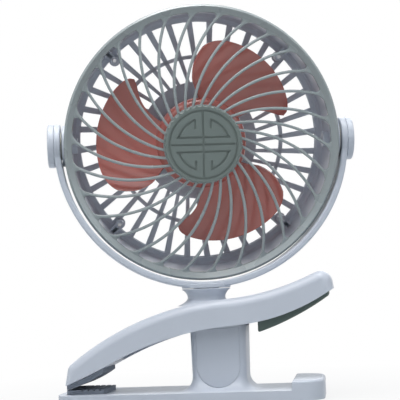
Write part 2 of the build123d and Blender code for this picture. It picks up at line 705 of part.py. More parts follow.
coil_length = COIL_TURNS * COIL_PITCH
with BuildPart() as clip_spring:
    # one wire: a leg that presses the slot in the stem, the coil, and a leg that presses the handle's roof
    with BuildLine() as spring_wire:
        coil = Helix(
            pitch=COIL_PITCH,
            height=coil_length,
            radius=COIL_RADIUS,
            center=(pin_x, coil_length / 2, PIN_HEIGHT),
            direction=(0, -1, 0),
        )
        Line(coil @ 0 - (coil % 0) * SPRING_LEG_STEM, coil @ 0)
        Line(coil @ 1, coil @ 1 + (coil % 1) * SPRING_LEG_ARM)
    wire_path = spring_wire.wires()[0]
    with BuildSketch(Plane(origin=wire_path @ 0, z_dir=wire_path % 0)):
        RegularPolygon(WIRE_RADIUS, WIRE_SIDES)
    sweep(path=wire_path, transition=Transition.ROUND)
clip_spring.part.label = "clip_spring"
export_step(clip_spring.part, "parts/clip_spring.step")

# ================================================================ yoke
cap_face = yoke_outer  # pivot caps lie on the outside of the yoke
screw_floor = pivot_height - yoke_inner - WASHER_THICK - GAP - SWIVEL_HEAD_THICK

with BuildPart() as yoke:
    with BuildSketch(yoke_plane.offset(-YOKE_DEPTH / 2)):
        Circle(yoke_outer)
        Circle(yoke_inner, mode=Mode.SUBTRACT)
        with Locations((0, yoke_outer / 2)):
            Rectangle(2 * yoke_outer, yoke_outer, mode=Mode.SUBTRACT)
    extrude(amount=YOKE_DEPTH)
    for side in (-1, 1):
        with BuildSketch(side_plane(side, yoke_inner)):
            Circle(YOKE_EAR)
        extrude(amount=YOKE_THICK)
    # flat landing on the neck, with the spigot below it
    with BuildSketch(Plane.XY.offset(yoke_bottom)):
        Circle(NECK_RADIUS)
    extrude(amount=LANDING_THICK)
    with BuildSketch(Plane.XY.offset(yoke_bottom)):
        Circle(SPIGOT_RADIUS)
    extrude(amount=-SPIGOT_LENGTH)
    with BuildSketch(Plane.XY.offset(yoke_bottom - SPIGOT_LENGTH)):
        Circle(SWIVEL_SCREW + RUN)
    extrude(amount=SPIGOT_LENGTH + 2 * YOKE_THICK, mode=Mode.SUBTRACT)
    with BuildSketch(Plane.XY.offset(screw_floor)):
        Circle(SWIVEL_HEAD + GAP)
    extrude(amount=2 * YOKE_THICK, mode=Mode.SUBTRACT)
    for side in (-1, 1):
        # room for the head's boss and its washer, and the pivot hole
        with BuildSketch(side_plane(side, yoke_inner)):
            Circle(YOKE_EAR + GAP)
        extrude(amount=-YOKE_THICK * 2, mode=Mode.SUBTRACT)
        with BuildSketch(side_plane(side, yoke_inner)):
            Circle(PIVOT_SCREW + RUN)
        extrude(amount=YOKE_THICK, mode=Mode.SUBTRACT)
yoke.part.label = "yoke"
export_step(yoke.part, "parts/yoke.step")

with BuildPart() as swivel_washer:
    with BuildSketch(Plane.XY.offset(screw_floor)):
        Circle(SWIVEL_HEAD)
        Circle(SWIVEL_SCREW + RUN, mode=Mode.SUBTRACT)
    extrude(amount=WASHER_THICK)
swivel_washer.part.label = "swivel_washer"
export_step(swivel_washer.part, "parts/swivel_washer.step")

with BuildPart() as swivel_screw:
    with BuildSketch(Plane.XY.offset(screw_floor + WASHER_THICK + GAP)):
        Circle(SWIVEL_HEAD)
    extrude(amount=SWIVEL_HEAD_THICK)
    with BuildSketch(Plane.XY.offset(insert_bottom)):
        Circle(SWIVEL_SCREW)
    extrude(amount=screw_floor + WASHER_THICK + GAP - insert_bottom)
swivel_screw.part.label = "swivel_screw"
export_step(swivel_screw.part, "parts/swivel_screw.step")

with BuildPart() as pivot_caps:
    for side in (-1, 1):
        with BuildSketch(side_plane(side, cap_face)):
            Circle(YOKE_EAR)
        extrude(amount=CAP_THICK)
        with BuildSketch(side_plane(side, cap_face)):
            Circle(PIVOT_HEAD + 2 * GAP)
        extrude(amount=PIVOT_HEAD_THICK + 2 * GAP, mode=Mode.SUBTRACT)
    outer_rims = pivot_caps.edges().filter_by(
        lambda e: abs((e @ 0 - head.origin).dot(head.x_dir)) > cap_face + CAP_THICK - NEAR
    )
    fillet(outer_rims, CAP_EDGE)
pivot_caps.part.label = "pivot_caps"
export_step(pivot_caps.part, "parts/pivot_caps.step")

with BuildPart() as pivot_screws:
    for side in (-1, 1):
        with BuildSketch(side_plane(side, cap_face + GAP)):
            Circle(PIVOT_HEAD)
        extrude(amount=PIVOT_HEAD_THICK)
        with BuildSketch(side_plane(side, cap_face + GAP)):
            Circle(PIVOT_SCREW)
        extrude(amount=-PIVOT_SCREW_LENGTH)
pivot_screws.part.label = "pivot_screws"
export_step(pivot_screws.part, "parts/pivot_screws.step")

with BuildPart() as tilt_washers:
    for side in (-1, 1):
        with BuildSketch(side_plane(side, yoke_inner)):
            Circle(TILT_WASHER_RADIUS)
            Circle(PIVOT_SCREW + RUN, mode=Mode.SUBTRACT)
        extrude(amount=-TILT_WASHER)
tilt_washers.part.label = "tilt_washers"
export_step(tilt_washers.part, "parts/tilt_washers.step")

# ================================================================ front grille
dome_top = HEAD_FRONT + DOME_RISE
web_front = HEAD_FRONT - RIM_DISH
dome_flat = HUB_RADIUS + DOME_LAND
dome_middle = (HUB_RADIUS + rim_inner) / 2
crown_top = (dome_top + web_front) / 2 + DOME_CROWN


def head_point(radius, clockwise):
    """Point of a sketch across the fan axis, by radius and clockwise angle."""
    return (radius * cos(radians(clockwise)), -radius * sin(radians(clockwise)))


def spoke_side(offset):
    """Points along one side of a spoke, offset to the counter-clockwise (+) or clockwise (-)."""
    points = []
    for share, sweep_angle in SPOKE_PATH:
        radius = HUB_RADIUS + (rim_inner - HUB_RADIUS) * share
        lean = degrees(offset / radius * SPOKE_SLANT)
        points.append(head_point(radius, sweep_angle - lean))
    return points


with BuildSketch() as grille_window:
    with BuildLine():
        near_side = ThreePointArc(*spoke_side(-SPOKE_WIDTH / 2))
        far_points = [Vector(*p).rotate(Axis.Z, -360 / SPOKES) for p in spoke_side(SPOKE_WIDTH / 2)]
        far_side = ThreePointArc(*far_points)
        Line(near_side @ 0, far_side @ 0)
        Line(near_side @ 1, far_side @ 1)
    make_face()
    Circle(rim_inner, mode=Mode.INTERSECT)
    Circle(HUB_RADIUS, mode=Mode.SUBTRACT)
    on_rim = grille_window.vertices().sort_by(lambda v: Vector(v).length)[-2:]
    fillet(on_rim.sort_by(Axis.Y)[0], WINDOW_WIDE_CORNER)
    on_rim = grille_window.vertices().filter_by(lambda v: Vector(v).length > rim_inner - NEAR)
    fillet(on_rim.sort_by(Axis.Y)[-1], WINDOW_TIGHT_CORNER)

with BuildPart() as front_grille:
    with BuildSketch(head_section):
        with BuildLine():
            Line((0, dome_top), (dome_flat, dome_top))
            ThreePointArc(
                (dome_flat, dome_top),
                (dome_middle, crown_top),
                (rim_inner, web_front),
            )
            Polyline(
                (rim_inner, web_front),
                (RIM_RADIUS - RIM_BEVEL, HEAD_FRONT),
                (RIM_RADIUS, HEAD_FRONT - RIM_BEVEL),
                (RIM_RADIUS, HEAD_FRONT - RIM_SKIRT_DEPTH),
                (RIM_RADIUS - RIM_SKIRT, HEAD_FRONT - RIM_SKIRT_DEPTH),
                (RIM_RADIUS - RIM_SKIRT, web_front - SPOKE_THICK),
                (rim_inner, web_front - SPOKE_THICK),
            )
            ThreePointArc(
                (rim_inner, web_front - SPOKE_THICK),
                (dome_middle, crown_top - SPOKE_THICK),
                (dome_flat, dome_top - SPOKE_THICK),
            )
            Polyline((dome_flat, dome_top - SPOKE_THICK), (0, dome_top - SPOKE_THICK), (0, dome_top))
        make_face()
    revolve(axis=fan_axis)
    with BuildSketch(head):
        with PolarLocations(0, SPOKES):
            add(grille_window.sketch)
    extrude(amount=2 * HEAD_FRONT, mode=Mode.SUBTRACT)
    # notches that let the drum's pivot bosses through the skirt
    for side in (-1, 1):
        with BuildSketch(side_plane(side, HUB_RADIUS * 2)):
            Circle(BOSS_RADIUS + GAP)
            with Locations((-RIM_RADIUS / 2, 0)):
                Rectangle(RIM_RADIUS, 2 * BOSS_RADIUS + 2 * GAP)
        extrude(amount=RIM_RADIUS, mode=Mode.SUBTRACT)
front_grille.part.label = "front_grille"
export_step(front_grille.part, "parts/front_grille.step")

# ================================================= hub badge: a scalloped cap with a lattice roundel
fret_size = FRET_RADIUS + GROOVE_WIDTH
with BuildSketch() as fret:
    # one quarter: an arc with a foot along the bar and a hook beside the middle groove
    Circle(FRET_RADIUS + GROOVE_WIDTH / 2)
    Circle(FRET_RADIUS - GROOVE_WIDTH / 2, mode=Mode.SUBTRACT)
    with Locations((FRET_SIDE + fret_size / 2, FRET_LOW + fret_size / 2)):
        Rectangle(fret_size, fret_size, mode=Mode.INTERSECT)
    with Locations((FRET_SIDE + GROOVE_WIDTH / 2, FRET_RADIUS - FRET_HOOK / 2)):
        Rectangle(GROOVE_WIDTH, FRET_HOOK)
    with Locations((FRET_RADIUS - FRET_HOOK / 2, FRET_LOW + GROOVE_WIDTH / 2)):
        Rectangle(FRET_HOOK, GROOVE_WIDTH)
    mirror(about=Plane.YZ)
    mirror(about=Plane.XZ)

with BuildPart() as hub_badge:
    with BuildSketch(head.offset(dome_top)):
        Circle(HUB_RADIUS)
        with PolarLocations(HUB_RADIUS + SCALLOP_RADIUS / 3, BADGE_SCALLOPS):
            Circle(SCALLOP_RADIUS, mode=Mode.SUBTRACT)
    extrude(amount=BADGE_THICK)
    with BuildSketch(head.offset(dome_top + BADGE_THICK - GROOVE_DEPTH)):
        Circle(LATTICE_RADIUS)
        Circle(LATTICE_RADIUS - GROOVE_WIDTH, mode=Mode.SUBTRACT)
        Rectangle(GROOVE_WIDTH, 2 * LATTICE_RADIUS - GROOVE_WIDTH)
        for level in (-LATTICE_BAR, LATTICE_BAR):
            with Locations((0, level)):
                Rectangle(2 * LATTICE_RADIUS - 3 * GROOVE_WIDTH, GROOVE_WIDTH)
        add(fret.sketch)
    extrude(amount=GROOVE_DEPTH, mode=Mode.SUBTRACT)
hub_badge.part.label = "hub_badge"
export_step(hub_badge.part, "parts/hub_badge.step")

# ================================================= drum, the housing ring with the pivot bosses
drum_front = web_front - SPOKE_THICK
lip_front = HEAD_REAR + REAR_PLATE + DRUM_LIP
rear_seat = HEAD_REAR + REAR_PLATE

with BuildPart() as drum:
    with BuildSketch(head_section):
        with BuildLine():
            Polyline(
                (drum_outer, drum_front),
                (drum_outer, DRUM_BEND),
            )
            TangentArc((drum_outer, DRUM_BEND), (rear_rim + DRUM_WALL, HEAD_REAR), tangent=(0, -1))
            Polyline(
                (rear_rim + DRUM_WALL, HEAD_REAR),
                (rear_rim + SNUG, HEAD_REAR),
                (rear_rim + SNUG, rear_seat),
                (rear_open, rear_seat),
                (rear_open, lip_front),
                (drum_inner - DRUM_LIP, lip_front),
                (drum_inner, lip_front + DRUM_LIP),
                (drum_inner, drum_front),
                (drum_outer, drum_front),
            )
        make_face()
    revolve(axis=fan_axis)
    for side in (-1, 1):
        with BuildSketch(side_plane(side, drum_inner + GAP)):
            Circle(BOSS_RADIUS)
        extrude(amount=boss_face - drum_inner - GAP)
        with BuildSketch(side_plane(side, drum_inner - BOSS_INSIDE)):
            Circle(PIVOT_SCREW + PIVOT_POST_WALL)
        extrude(amount=BOSS_INSIDE + DRUM_WALL / 2)
        with BuildSketch(side_plane(side, drum_inner - BOSS_INSIDE)):
            Circle(PIVOT_SCREW + RUN)
        extrude(amount=RIM_RADIUS, mode=Mode.SUBTRACT)
    # posts inside the wall for the rear grille's screws
    with BuildSketch(head.offset(rear_seat)):
        with PolarLocations(rear_screw_ring, REAR_SCREWS, start_angle=REAR_SCREW_START):
            Circle(post_radius)
    extrude(amount=REAR_POST)
    with BuildSketch(head.offset(rear_seat)):
        with PolarLocations(rear_screw_ring, REAR_SCREWS, start_angle=REAR_SCREW_START):
            Circle(SCREW_RADIUS + SNUG)
    extrude(amount=REAR_POST, mode=Mode.SUBTRACT)
drum.part.label = "drum"
export_step(drum.part, "parts/drum.step")

# ================================================================ rear grille with the motor cup
def bar_window(inner, outer):
    """Opening between two rear bars, from one radius to another, with straight leaning sides."""
    step = 360 / REAR_BARS
    half_in = degrees(REAR_BAR_WIDTH / 2 / inner)
    half_out = degrees(REAR_BAR_WIDTH / 2 / outer)
    lean_in = (inner - POD_RADIUS) / (rear_open - POD_RADIUS) * REAR_SWEEP
    lean_out = (outer - POD_RADIUS) / (rear_open - POD_RADIUS) * REAR_SWEEP
    return [
        head_point(inner, -(half_in + lean_in)),
        head_point(outer, -(half_out + lean_out)),
        head_point(outer, -(step - half_out + lean_out)),
        head_point(inner, -(step - half_in + lean_in)),
    ]


with BuildPart() as rear_grille:
    with BuildSketch(head.offset(HEAD_REAR)):
        Circle(rear_rim)
    extrude(amount=REAR_PLATE)
    with BuildSketch(head.offset(HEAD_REAR)):
        with PolarLocations(0, REAR_BARS):
            Polygon(*bar_window(POD_RADIUS + POD_MARGIN, rear_ring - REAR_RING_WIDTH / 2), align=None)
            Polygon(*bar_window(rear_ring + REAR_RING_WIDTH / 2, rear_open - POST_WALL / 2), align=None)
    extrude(amount=REAR_PLATE, mode=Mode.SUBTRACT)
    # cup that grips the rear half of the motor
    with BuildSketch(head.offset(rear_seat)):
        Circle(CAN_RADIUS + SNUG + POD_WALL)
        Circle(CAN_RADIUS + SNUG, mode=Mode.SUBTRACT)
    extrude(amount=MOTOR_CUP)
    # screw holes at the rim and for the pod
    with BuildSketch(head.offset(HEAD_REAR)):
        with PolarLocations(rear_screw_ring, REAR_SCREWS, start_angle=REAR_SCREW_START):
            Circle(post_radius)
    extrude(amount=REAR_PLATE)
    with BuildSketch(head.offset(HEAD_REAR)):
        with PolarLocations(rear_screw_ring, REAR_SCREWS, start_angle=REAR_SCREW_START):
            Circle(SCREW_RADIUS + SNUG)
        with PolarLocations(POD_SCREW_RING, POD_SCREWS, start_angle=POD_SCREW_START):
            Circle(SCREW_RADIUS + SNUG)
    extrude(amount=REAR_PLATE, mode=Mode.SUBTRACT)
    with BuildSketch(head.offset(rear_seat)):
        with PolarLocations(POD_SCREW_RING, POD_SCREWS, start_angle=POD_SCREW_START):
            Circle(post_radius)
            Circle(SCREW_RADIUS + SNUG, mode=Mode.SUBTRACT)
    extrude(amount=POD_POST)
    # posts that carry the board
    with BuildSketch(head.offset(HEAD_REAR)):
        with Locations((-BOARD_POST_X, BOARD_POST_Y), (BOARD_POST_X, BOARD_POST_Y)):
            Circle(BOARD_POST)
    extrude(amount=-BOARD_FRONT)
rear_grille.part.label = "rear_grille"
export_step(rear_grille.part, "parts/rear_grille.step")

with BuildPart() as rear_screws:
    with BuildSketch(head.offset(HEAD_REAR)):
        with PolarLocations(rear_screw_ring, REAR_SCREWS, start_angle=REAR_SCREW_START):
            Circle(SCREW_HEAD)
    extrude(amount=-SCREW_HEAD_THICK)
    with BuildSketch(head.offset(HEAD_REAR)):
        with PolarLocations(rear_screw_ring, REAR_SCREWS, start_angle=REAR_SCREW_START):
            Circle(SCREW_RADIUS)
    extrude(amount=REAR_PLATE + REAR_POST - REAR_SCREW_ROOM)
rear_screws.part.label = "rear_screws"
export_step(rear_screws.part, "parts/rear_screws.step")

# ================================================================ impeller: a cup with three petal blades
with BuildSketch() as petal:
    # outline seen from the front, with the leading corner fuller than the trailing one
    with BuildLine():
        radii = [blade_root + (blade_tip - blade_root) * share for share, angle in PETAL_OUTLINE]
        angles = [angle for share, angle in PETAL_OUTLINE]
        petal_edge = Spline(*[head_point(*place) for place in zip(radii, angles)])
        Line(petal_edge @ 1, petal_edge @ 0)
    make_face()

with BuildPart() as one_blade:
    for distance, pitch in ((CUP_RADIUS / 2, BLADE_PITCH_ROOT), (blade_tip + BLADE_THICK, BLADE_PITCH_TIP)):
        section = Plane(
            origin=head.origin + head.x_dir * distance + head.z_dir * FAN_PLANE,
            x_dir=head.y_dir,
            z_dir=head.x_dir,
        )
        with BuildSketch(section):
            Rectangle(3 * blade_tip, BLADE_THICK, rotation=pitch)
    loft(ruled=True)
    with BuildSketch(head.offset(-HEAD_FRONT * 2)):
        add(petal.sketch)
    extrude(amount=4 * HEAD_FRONT, mode=Mode.INTERSECT)

blades = [one_blade.part.rotate(fan_axis, BLADE_START + 360 * n / BLADES) for n in range(BLADES)]
socket_rear = CUP_FRONT - CUP_WALL - SHAFT_SOCKET

with BuildPart() as impeller:
    with BuildSketch(head_section):
        with BuildLine():
            Line((0, CUP_FRONT), (CUP_RADIUS - CUP_ROUND, CUP_FRONT))
            TangentArc(
                (CUP_RADIUS - CUP_ROUND, CUP_FRONT), (CUP_RADIUS, CUP_FRONT - CUP_ROUND), tangent=(1, 0)
            )
            Polyline(
                (CUP_RADIUS, CUP_FRONT - CUP_ROUND),
                (CUP_RADIUS, CUP_REAR),
                (CUP_RADIUS - CUP_WALL, CUP_REAR),
                (CUP_RADIUS - CUP_WALL, CUP_FRONT - CUP_WALL),
                (0, CUP_FRONT - CUP_WALL),
                (0, CUP_FRONT),
            )
        make_face()
    revolve(axis=fan_axis)
    add(blades)
    # clear the blades' roots out of the cup, then add the post that grips the shaft
    with BuildSketch(head.offset(CUP_FRONT - CUP_WALL)):
        Circle(CUP_RADIUS - CUP_WALL)
    extrude(amount=-2 * HEAD_FRONT, mode=Mode.SUBTRACT)
    with BuildSketch(head.offset(socket_rear)):
        Circle(SHAFT_RADIUS + SHAFT_POST_WALL)
        Circle(SHAFT_RADIUS + SNUG, mode=Mode.SUBTRACT)
    extrude(amount=SHAFT_SOCKET)
impeller.part.label = "impeller"
export_step(impeller.part, "parts/impeller.step")

# ================================================================ motor
can_floor = CAN_REAR + BUSH_LENGTH
shaft_rear = CAN_REAR + SHAFT_SET_BACK
shaft_front = CUP_FRONT - CUP_WALL

with BuildPart() as motor_shaft:
    with BuildSketch(head.offset(shaft_rear)):
        Circle(SHAFT_RADIUS)
    extrude(amount=shaft_front - shaft_rear)
motor_shaft.part.label = "motor_shaft"
export_step(motor_shaft.part, "parts/motor_shaft.step")

with BuildPart() as motor_can:
    with BuildSketch(head_section):
        with BuildLine():
            Polyline(
                (BUSH_RADIUS + SNUG, CAN_FRONT),
                (CAN_RADIUS, CAN_FRONT),
                (CAN_RADIUS, CAN_REAR + CAN_WALL),
                (CAN_RADIUS - CAN_WALL, CAN_REAR + CAN_WALL),
                (CAN_RADIUS - CAN_WALL, CAN_FRONT - CAN_WALL),
                (BUSH_RADIUS + SNUG, CAN_FRONT - CAN_WALL),
                (BUSH_RADIUS + SNUG, CAN_FRONT),
            )
        make_face()
    revolve(axis=fan_axis)
motor_can.part.label = "motor_can"
export_step(motor_can.part, "parts/motor_can.step")

with BuildPart() as motor_end_cap:
    with BuildSketch(head.offset(CAN_REAR)):
        Circle(CAN_RADIUS)
        Circle(BUSH_RADIUS + SNUG, mode=Mode.SUBTRACT)
    extrude(amount=CAN_WALL)
    with BuildSketch(head.offset(CAN_REAR + CAN_WALL)):
        Circle(CAN_RADIUS - CAN_WALL - SNUG)
        Circle(BUSH_RADIUS + SNUG, mode=Mode.SUBTRACT)
    extrude(amount=CAN_WALL)
motor_end_cap.part.label = "motor_end_cap"
export_step(motor_end_cap.part, "parts/motor_end_cap.step")

with BuildPart() as motor_bushes:
    for rear_face in (CAN_REAR, CAN_FRONT - BUSH_LENGTH + CAN_WALL):
        with BuildSketch(head.offset(rear_face)):
            Circle(BUSH_RADIUS)
            Circle(SHAFT_RADIUS + RUN, mode=Mode.SUBTRACT)
        extrude(amount=BUSH_LENGTH)
motor_bushes.part.label = "motor_bushes"
export_step(motor_bushes.part, "parts/motor_bushes.step")

magnet_outer = CAN_RADIUS - CAN_WALL - SNUG
with BuildPart() as motor_magnets:
    with BuildSketch(head.offset(can_floor)):
        Circle(magnet_outer)
        Circle(magnet_outer - MAGNET_THICK, mode=Mode.SUBTRACT)
        Rectangle(MAGNET_SPLIT, 3 * CAN_RADIUS, mode=Mode.SUBTRACT)
    extrude(amount=MAGNET_LENGTH)
motor_magnets.part.label = "motor_magnets"
export_step(motor_magnets.part, "parts/motor_magnets.step")

rotor_rear = can_floor + COMMUTATOR_LENGTH
coil_radius = ROTOR_RADIUS - POLE_SHOE - COIL_SPAN / 2
with BuildPart() as rotor_core:
    # three T-shaped poles on a round hub
    with BuildSketch(head.offset(rotor_rear)):
        Circle(ROTOR_RADIUS)
        Circle(ROTOR_RADIUS - POLE_SHOE, mode=Mode.SUBTRACT)
        with PolarLocations(0, POLES, start_angle=60):
            with Locations((ROTOR_RADIUS, 0)):
                Rectangle(ROTOR_RADIUS, POLE_GAP, mode=Mode.SUBTRACT)
        with PolarLocations(ROTOR_RADIUS / 2, POLES):
            Rectangle(ROTOR_RADIUS - POLE_SHOE / 2, POLE_WIDTH)
        Circle(SHAFT_RADIUS + POLE_SHOE)
        Circle(SHAFT_RADIUS + SNUG, mode=Mode.SUBTRACT)
    extrude(amount=ROTOR_LENGTH)
rotor_core.part.label = "rotor_core"
export_step(rotor_core.part, "parts/rotor_core.step")

with BuildPart() as rotor_coils:
    with BuildSketch(head.offset(rotor_rear)):
        with PolarLocations(coil_radius, POLES):
            Rectangle(COIL_SPAN, POLE_WIDTH + 2 * COIL_THICK)
            Rectangle(COIL_SPAN * 2, POLE_WIDTH + 2 * SNUG, mode=Mode.SUBTRACT)
        Circle(ROTOR_RADIUS - POLE_SHOE - SNUG, mode=Mode.INTERSECT)
    extrude(amount=ROTOR_LENGTH)
rotor_coils.part.label = "rotor_coils"
export_step(rotor_coils.part, "parts/rotor_coils.step")

with BuildPart() as commutator:
    with BuildSketch(head.offset(can_floor + GAP)):
        Circle(COMMUTATOR_RADIUS)
        Circle(SHAFT_RADIUS + SNUG, mode=Mode.SUBTRACT)
    extrude(amount=COMMUTATOR_LENGTH - 2 * GAP)
commutator.part.label = "commutator"
export_step(commutator.part, "parts/commutator.step")

# ================================================================ pod with the cell, board and button
pod_rear = HEAD_REAR - POD_DEPTH
board_front = HEAD_REAR - BOARD_FRONT
board_rear = board_front - BOARD_SIZE[2]
socket_middle = board_front + SOCKET_SIZE[2] / 2
button_face = pod_rear - BUTTON_TRAVEL - BUTTON_PRESSED
flange_rear = pod_rear + POD_WALL + GAP
socket_plane = Plane(
    origin=head.origin + head.z_dir * socket_middle + head.y_dir * SOCKET_Y,
    x_dir=head.x_dir,
    z_dir=-head.y_dir,
)

with BuildPart() as pod_cover:
    with BuildSketch(head.offset(HEAD_REAR)):
        Circle(POD_RADIUS)
    extrude(amount=-POD_DEPTH)
    rear_edge = pod_cover.edges().filter_by(
        lambda e: (e @ 0 - head.origin).dot(head.z_dir) < pod_rear + NEAR
    )
    fillet(rear_edge, POD_ROUND)
    with BuildSketch(head.offset(HEAD_REAR)):
        Circle(POD_RADIUS - POD_WALL)
    extrude(amount=-(POD_DEPTH - POD_WALL), mode=Mode.SUBTRACT, taper=POD_DRAFT)
    with BuildSketch(head.offset(pod_rear)):
        with Locations((0, BUTTON_Y)):
            Circle(BUTTON_RADIUS + GAP)
        with Locations((LENS_X, BUTTON_Y)):
            Circle(LENS_RADIUS + SNUG)
    extrude(amount=POD_WALL * 2, mode=Mode.SUBTRACT)
    # posts down to the rear plate, with countersunk screw holes
    with BuildSketch(head.offset(pod_rear + POD_WALL / 2)):
        with PolarLocations(POD_SCREW_RING, POD_SCREWS, start_angle=POD_SCREW_START):
            Circle(SCREW_HEAD + POST_WALL)
    extrude(amount=POD_DEPTH - POD_WALL / 2)
    with BuildSketch(head.offset(pod_rear)):
        with PolarLocations(POD_SCREW_RING, POD_SCREWS, start_angle=POD_SCREW_START):
            Circle(SCREW_RADIUS + SNUG)
    extrude(amount=POD_DEPTH, mode=Mode.SUBTRACT)
    with BuildSketch(head.offset(pod_rear)):
        with PolarLocations(POD_SCREW_RING, POD_SCREWS, start_angle=POD_SCREW_START):
            Circle(SCREW_HEAD + SNUG)
    extrude(amount=POD_SCREW_SINK, mode=Mode.SUBTRACT)
    # charging opening in the lower side
    with BuildSketch(socket_plane):
        RectangleRounded(SOCKET_SIZE[0] + 2 * GAP, SOCKET_SIZE[2] + 2 * GAP, SOCKET_CORNER + GAP)
    extrude(amount=POD_RADIUS, mode=Mode.SUBTRACT)
pod_cover.part.label = "pod_cover"
export_step(pod_cover.part, "parts/pod_cover.step")

with BuildPart() as pod_screws:
    with BuildSketch(head.offset(pod_rear + POD_SCREW_SINK)):
        with PolarLocations(POD_SCREW_RING, POD_SCREWS, start_angle=POD_SCREW_START):
            Circle(SCREW_HEAD)
    extrude(amount=-SCREW_HEAD_THICK)
    with BuildSketch(head.offset(pod_rear + POD_SCREW_SINK)):
        with PolarLocations(POD_SCREW_RING, POD_SCREWS, start_angle=POD_SCREW_START):
            Circle(SCREW_RADIUS)
    extrude(amount=POD_DEPTH - POD_SCREW_SINK + REAR_PLATE + POD_POST - POD_SCREW_ROOM)
pod_screws.part.label = "pod_screws"
export_step(pod_screws.part, "parts/pod_screws.step")

with BuildPart() as battery_cell:
    with BuildSketch(head.offset(HEAD_REAR)):
        with Locations((0, CELL_Y)):
            RectangleRounded(CELL_SIZE[0], CELL_SIZE[1], CELL_CORNER)
    extrude(amount=-CELL_SIZE[2])
battery_cell.part.label = "battery_cell"
export_step(battery_cell.part, "parts/battery_cell.step")

with BuildPart() as control_board:
    with BuildSketch(head.offset(board_front)):
        with Locations((0, BOARD_Y)):
            Rectangle(BOARD_SIZE[0], BOARD_SIZE[1])
    extrude(amount=-BOARD_SIZE[2])
control_board.part.label = "control_board"
export_step(control_board.part, "parts/control_board.step")

with BuildPart() as charging_socket:
    with BuildSketch(socket_plane):
        RectangleRounded(SOCKET_SIZE[0], SOCKET_SIZE[2], SOCKET_CORNER)
    extrude(amount=SOCKET_SIZE[1] / 2, both=True)
    with BuildSketch(socket_plane):
        RectangleRounded(
            SOCKET_SIZE[0] - 2 * SOCKET_WALL, SOCKET_SIZE[2] - 2 * SOCKET_WALL, SOCKET_CORNER - SOCKET_WALL
        )
        RectangleRounded(SOCKET_TONGUE_WIDTH, SOCKET_TONGUE, SOCKET_TONGUE / 2 - SNUG, mode=Mode.SUBTRACT)
    extrude(amount=SOCKET_SIZE[1] / 2, mode=Mode.SUBTRACT)
charging_socket.part.label = "charging_socket"
export_step(charging_socket.part, "parts/charging_socket.step")

with BuildPart() as button_switch:
    with BuildSketch(head.offset(board_rear)):
        with Locations((0, BUTTON_Y)):
            Rectangle(SWITCH_SIZE[0], SWITCH_SIZE[1])
    extrude(amount=-SWITCH_SIZE[2])
button_switch.part.label = "button_switch"
export_step(button_switch.part, "parts/button_switch.step")

with BuildPart() as speed_button:
    with BuildSketch(head.offset(flange_rear)):
        with Locations((0, BUTTON_Y)):
            Circle(BUTTON_FLANGE)
    extrude(amount=BUTTON_FLANGE_THICK)
    with BuildSketch(head.offset(flange_rear)):
        with Locations((0, BUTTON_Y)):
            Circle(BUTTON_RADIUS)
    extrude(amount=button_face - flange_rear)
    button_edge = speed_button.edges().filter_by(
        lambda e: (e @ 0 - head.origin).dot(head.z_dir) < button_face + NEAR
    )
    fillet(button_edge, BUTTON_EDGE)
speed_button.part.label = "speed_button"
export_step(speed_button.part, "parts/speed_button.step")

with BuildPart() as indicator_lens:
    with BuildSketch(head.offset(pod_rear)):
        with Locations((LENS_X, BUTTON_Y)):
            Circle(LENS_RADIUS)
    extrude(amount=board_rear - GAP - pod_rear)
indicator_lens.part.label = "indicator_lens"
export_step(indicator_lens.part, "parts/indicator_lens.step")
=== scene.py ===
"""Clip-on desk fan: the looks of its pieces, in metres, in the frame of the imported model.

Pieces are drawn in millimetres, in the head's, the yoke's or the clip's own frame, and then seated.
"""

import json
from math import asin, cos, degrees, pi, radians, sin, sqrt, tan

import bpy
from mathutils import Matrix, Quaternion, Vector


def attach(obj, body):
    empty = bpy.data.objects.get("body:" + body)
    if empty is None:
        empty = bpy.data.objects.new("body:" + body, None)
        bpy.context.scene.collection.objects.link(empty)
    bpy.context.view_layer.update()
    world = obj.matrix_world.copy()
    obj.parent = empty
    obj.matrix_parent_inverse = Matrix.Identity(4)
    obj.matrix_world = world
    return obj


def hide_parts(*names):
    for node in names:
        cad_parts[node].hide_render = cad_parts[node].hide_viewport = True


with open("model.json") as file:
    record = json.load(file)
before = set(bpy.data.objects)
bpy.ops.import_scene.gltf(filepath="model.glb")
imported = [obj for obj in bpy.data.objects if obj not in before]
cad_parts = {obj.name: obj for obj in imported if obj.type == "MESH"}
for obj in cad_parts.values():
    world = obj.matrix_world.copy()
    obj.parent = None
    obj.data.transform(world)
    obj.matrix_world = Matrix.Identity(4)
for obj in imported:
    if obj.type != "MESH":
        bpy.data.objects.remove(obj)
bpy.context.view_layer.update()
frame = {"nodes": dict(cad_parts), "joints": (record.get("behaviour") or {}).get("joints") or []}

# ==================== camera
# A longish lens level with the neck, a little to the right of straight on, so that the tilted
# head fills the upper part of the picture. It is rolled slightly, as if held by hand.
MM = 0.001
CAMERA_REACH = 587 * MM
CAMERA_SIDE = radians(7)
CAMERA_HEIGHT = 54 * MM
CAMERA_AIM = Vector((-1.5, 0, 101.8)) * MM
CAMERA_ROLL = radians(2.15)
FOCAL_PIXELS = 1150
PICTURE_PIXELS = 400
SENSOR = 36.0
NEAREST = 10 * MM
FARTHEST = 10000 * MM

bpy.ops.object.select_all(action="DESELECT")
bpy.ops.object.camera_add()
camera = bpy.context.object
camera.name = "camera"
camera.location = (
    CAMERA_REACH * sin(CAMERA_SIDE),
    -CAMERA_REACH * cos(CAMERA_SIDE),
    CAMERA_HEIGHT,
)
looking = (CAMERA_AIM - camera.location).to_track_quat("-Z", "Y")
camera.rotation_mode = "QUATERNION"
camera.rotation_quaternion = looking @ Quaternion((0, 0, 1), -CAMERA_ROLL)
camera.data.sensor_width = SENSOR
camera.data.lens = SENSOR * FOCAL_PIXELS / PICTURE_PIXELS
camera.data.clip_start, camera.data.clip_end = NEAREST, FARTHEST
bpy.context.scene.camera = camera

